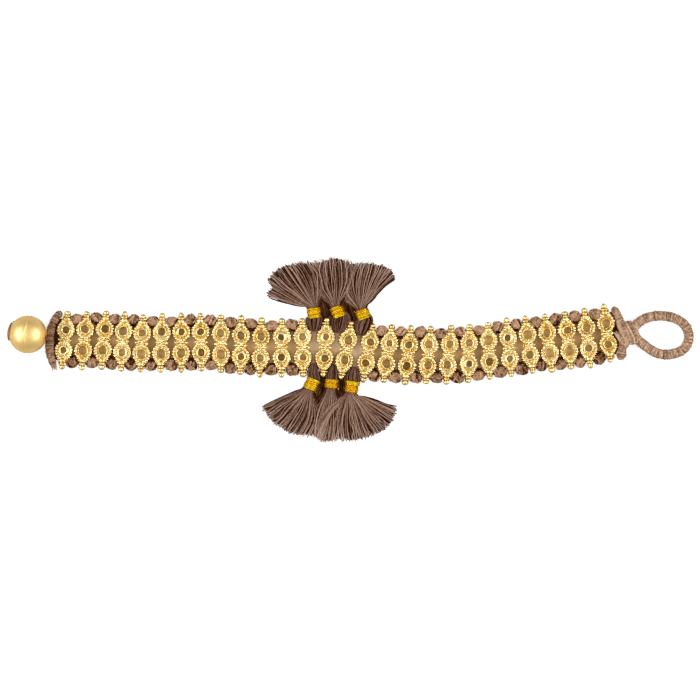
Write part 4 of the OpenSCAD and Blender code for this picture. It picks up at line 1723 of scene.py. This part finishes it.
@dataclass(kw_only=True)
class ButtonCord(Piece):
    """The twisted cord that ties the ball to the band, with its coiled knot on the ball's far pole."""

    slot: Slot = Slot.BUTTON_CORD
    ball: Ball
    plies: int = 3
    ply_radius: float = 0.27
    lay: float = 1.6
    step: float = 0.15
    foot_height: float = 3.5
    coil_turns: int = 5
    coil_radius: float = 0.22
    coil_reach: tuple[float, float] = (0.25, 2.75)

    def build(self) -> None:
        """Build the cord and its knot."""
        centre, axis = np.array(self.ball.centre), self.ball.axis
        far = self.ball.diameter / 2 + 0.02
        exit_point = centre + (self.ball.diameter / 2 + 0.75) * axis
        foot = np.array([exit_point[0], exit_point[1], self.foot_height])
        rows = np.array([
            centre - (far + 0.1) * axis, centre, exit_point, (exit_point + foot) / 2 + 0.1 * axis, foot,
        ])
        route = evenly(smooth_route(rows, 8), self.step)
        ways = heading(route)
        side = unit(np.cross(ways, np.cross(UP, axis)))
        for ply in range(self.plies):
            angle = 2 * math.pi * (np.arange(len(route)) * self.step / self.lay + ply / self.plies)
            off = around(angle, side, np.cross(ways, side))
            self.form.add_tubes(route + 0.26 * off, self.ply_radius, off, 7, tone=0.35 + 0.12 * ply)
        angle = np.linspace(0.0, 2 * math.pi * self.coil_turns, self.coil_turns * 36)
        reach = np.linspace(*self.coil_reach, len(angle))
        start = unit(np.cross(UP, axis))
        ring = around(angle, start, np.cross(axis, start))
        depth = np.sqrt((far + self.coil_radius) ** 2 - reach ** 2)
        coil = centre + reach[:, None] * ring - depth[:, None] * axis
        tone = self.rng.uniform(0.6, 0.8, len(angle))
        self.form.add_tubes(coil, self.coil_radius, unit(coil - centre), 7, tone=tone)


# The studio

# The view's curves for green and blue, its channels 1 and 2: level in, level out
WARMER = {
    1: ((0.04, 0.027), (0.08, 0.07), (0.15, 0.142), (0.3, 0.296), (0.6, 0.6)),
    2: ((0.025, 0.011), (0.05, 0.037), (0.1, 0.087), (0.2, 0.188), (0.5, 0.5)),
}


@dataclass
class Studio:
    """The pale ground, the soft lights and the camera straight above."""

    pixel: float = 0.277
    middle_pixel: float = 351.0
    lens: float = 200.0
    sensor: float = 36.0
    focus_height: float = 2.6
    # Half the ground's size in metres, and for the camera alone the ground's glow and the sky's level
    ground_reach: float = 1.5
    ground_glow: float = 0.72
    backdrop: float = 0.85
    # The sky's level at the horizon, and what it gains overhead
    tent: tuple[float, float] = (0.3, 0.5)
    # The two softboxes: rise in degrees, power in watts, size and distance in metres
    box_rise: float = 36.0
    box_power: float = 4.2
    box_size: tuple[float, float] = (0.7, 0.36)
    box_distance: float = 0.8

    @staticmethod
    def seen(tree: Tree, level: float) -> bpy.types.NodeSocket:
        """Return a level for what the camera itself sees, and none for all else."""
        return tree.calc("MULTIPLY", tree.add("LightPath").outputs["Is Camera Ray"], level)

    def floor(self) -> None:
        """Lay the pale ground, which the camera sees nearly white and the gold reflects darker."""
        mesh = bpy.data.meshes.new("ground")
        size = self.ground_reach
        corners = [(-size, -size, 0), (size, -size, 0), (size, size, 0), (-size, size, 0)]
        mesh.from_pydata(corners, [], [(0, 1, 2, 3)])
        ground = bpy.data.objects.new("ground", mesh)
        material = bpy.data.materials.new("ground_white")
        material.use_nodes = True
        tree = Tree(material.node_tree)
        shader = material.node_tree.nodes["Principled BSDF"]
        shader.inputs["Base Color"].default_value = (0.5, 0.5, 0.5, 1)
        shader.inputs["Roughness"].default_value = 0.95
        shader.inputs["Emission Color"].default_value = WHITE
        tree.join(self.seen(tree, self.ground_glow), shader.inputs["Emission Strength"])
        mesh.materials.append(material)
        bpy.context.scene.collection.objects.link(ground)

    def sky(self) -> None:
        """Set the soft light that comes from all round, brighter overhead, and pale to the camera."""
        world = bpy.data.worlds.new("soft_tent")
        world.use_nodes = True
        bpy.context.scene.world = world
        tree = Tree(world.node_tree)
        place = tree.add("TexCoord").outputs["Generated"]
        height = tree.add("SeparateXYZ", {"Vector": place}).outputs["Z"]
        overhead = tree.calc("MULTIPLY", tree.calc("MAXIMUM", height, 0.0), self.tent[1])
        level = tree.calc("MAXIMUM", tree.calc("ADD", overhead, self.tent[0]), self.seen(tree, self.backdrop))
        background = world.node_tree.nodes["Background"]
        background.inputs["Color"].default_value = WHITE
        tree.join(level, background.inputs["Strength"])

    def softbox(self, name: str, azimuth: float) -> None:
        """Hang one soft light that points at the middle.

        Args:
            name: the light's name.
            azimuth: its direction seen from above, in degrees from +X.
        """
        light = bpy.data.lights.new(name, "AREA")
        light.shape = "RECTANGLE"
        light.size, light.size_y = self.box_size
        light.energy = self.box_power
        lamp = bpy.data.objects.new(name, light)
        way = raised(azimuth, self.box_rise)
        lamp.location = Vector(way * self.box_distance)
        lamp.rotation_euler = Vector(-way).to_track_quat("-Z", "Y").to_euler()
        bpy.context.scene.collection.objects.link(lamp)

    def camera(self) -> None:
        """Set the camera straight above, framed as the photograph is."""
        data = bpy.data.cameras.new("camera")
        data.lens, data.sensor_width = self.lens, self.sensor
        width = IMAGE_SIZE * self.pixel
        distance = width * self.lens / self.sensor
        camera = bpy.data.objects.new("camera", data)
        across = (IMAGE_SIZE / 2 - self.middle_pixel) * self.pixel
        camera.location = Vector((across, 0.0, distance + self.focus_height)) * MM
        data.clip_start, data.clip_end = 0.05, 5.0
        bpy.context.scene.collection.objects.link(camera)
        bpy.context.scene.camera = camera

    def grade(self) -> None:
        """Turn the darker tones warmer, as they are in the photograph."""
        view = bpy.context.scene.view_settings
        view.view_transform = "Standard"
        view.use_curve_mapping = True
        for channel, points in WARMER.items():
            for level_in, level_out in points:
                view.curve_mapping.curves[channel].points.new(level_in, level_out)
        view.curve_mapping.update()

    def build(self) -> None:
        """Set up the ground, the light and the camera."""
        self.camera()
        self.floor()
        self.sky()
        self.softbox("left_softbox", 180)
        self.softbox("right_softbox", 0)
        self.grade()


def pieces(row: BeadRow) -> Iterator[Piece]:
    """List every piece of the bracelet, in the order in which it is built.

    Args:
        row: the row of beads.

    Yields:
        Each piece, not built yet.
    """
    yield SuedeTape(name="suede_tape", node="backing_tape", seed=31, row=row)
    for k, seat in enumerate(row.seats, start=1):
        yield CastBead(name=f"cast_bead_{k:02d}", node=f"ring_bead_{k:02d}", seed=100 + k, number=k,
                       seat=seat)
    for side in Side:
        label = side.name.lower()
        yield KnottedEdge(name=f"knotted_edge_{label}", node=f"edge_knots_{label}", seed=200 + side.value,
                          side=side, row=row)
        yield EdgeThread(name=f"edge_cord_{label}", node=f"edge_thread_{label}", side=side, row=row)
    for plan in TASSELS:
        seed = 10 * plan.number + plan.side.value
        yield ThreadTassel(name=f"thread_tassel_{plan.name}", node=f"tassel_{plan.name}", seed=300 + seed,
                           plan=plan, row=row)
        yield GoldBinding(name=f"gold_binding_{plan.name}", node=f"tassel_binding_{plan.name}",
                          seed=400 + seed, plan=plan)
    yield WoundCord(name="wound_button_end", node="button_end_cord", rows=BUTTON_END_ROUTE, radius=1.15,
                    tone=0.33, seed=51, frayed_threads=26)
    yield WoundCord(name="wound_loop_end", node="loop_end_cord", rows=LOOP_END_ROUTE, radius=1.2,
                    tone=0.45, seed=52, crossings=LOOP_CROSSINGS)
    yield WoundCord(name="wound_loop", node="closure_loop", rows=[(*point, 1.0) for point in LOOP_ROUTE],
                    radius=1.45, height=0.05, seed=53)
    yield LoopNeck(name="wound_neck", node="loop_neck", seed=61)
    ball = Ball()
    yield SeamedBall(name="seamed_ball", node="ball_button", ball=ball)
    yield ButtonCord(name="twisted_button_cord", node="button_cord", seed=77, ball=ball)


def main() -> None:
    """Build the whole bracelet, piece by piece."""
    logging.basicConfig(level=logging.INFO, format="%(name)s: %(message)s")
    Studio().build()
    cupboard = Cupboard()
    row = BeadRow()
    for piece in pieces(row):
        piece.build()
        piece.dress(cupboard)


if __name__ == "__main__":
    main()
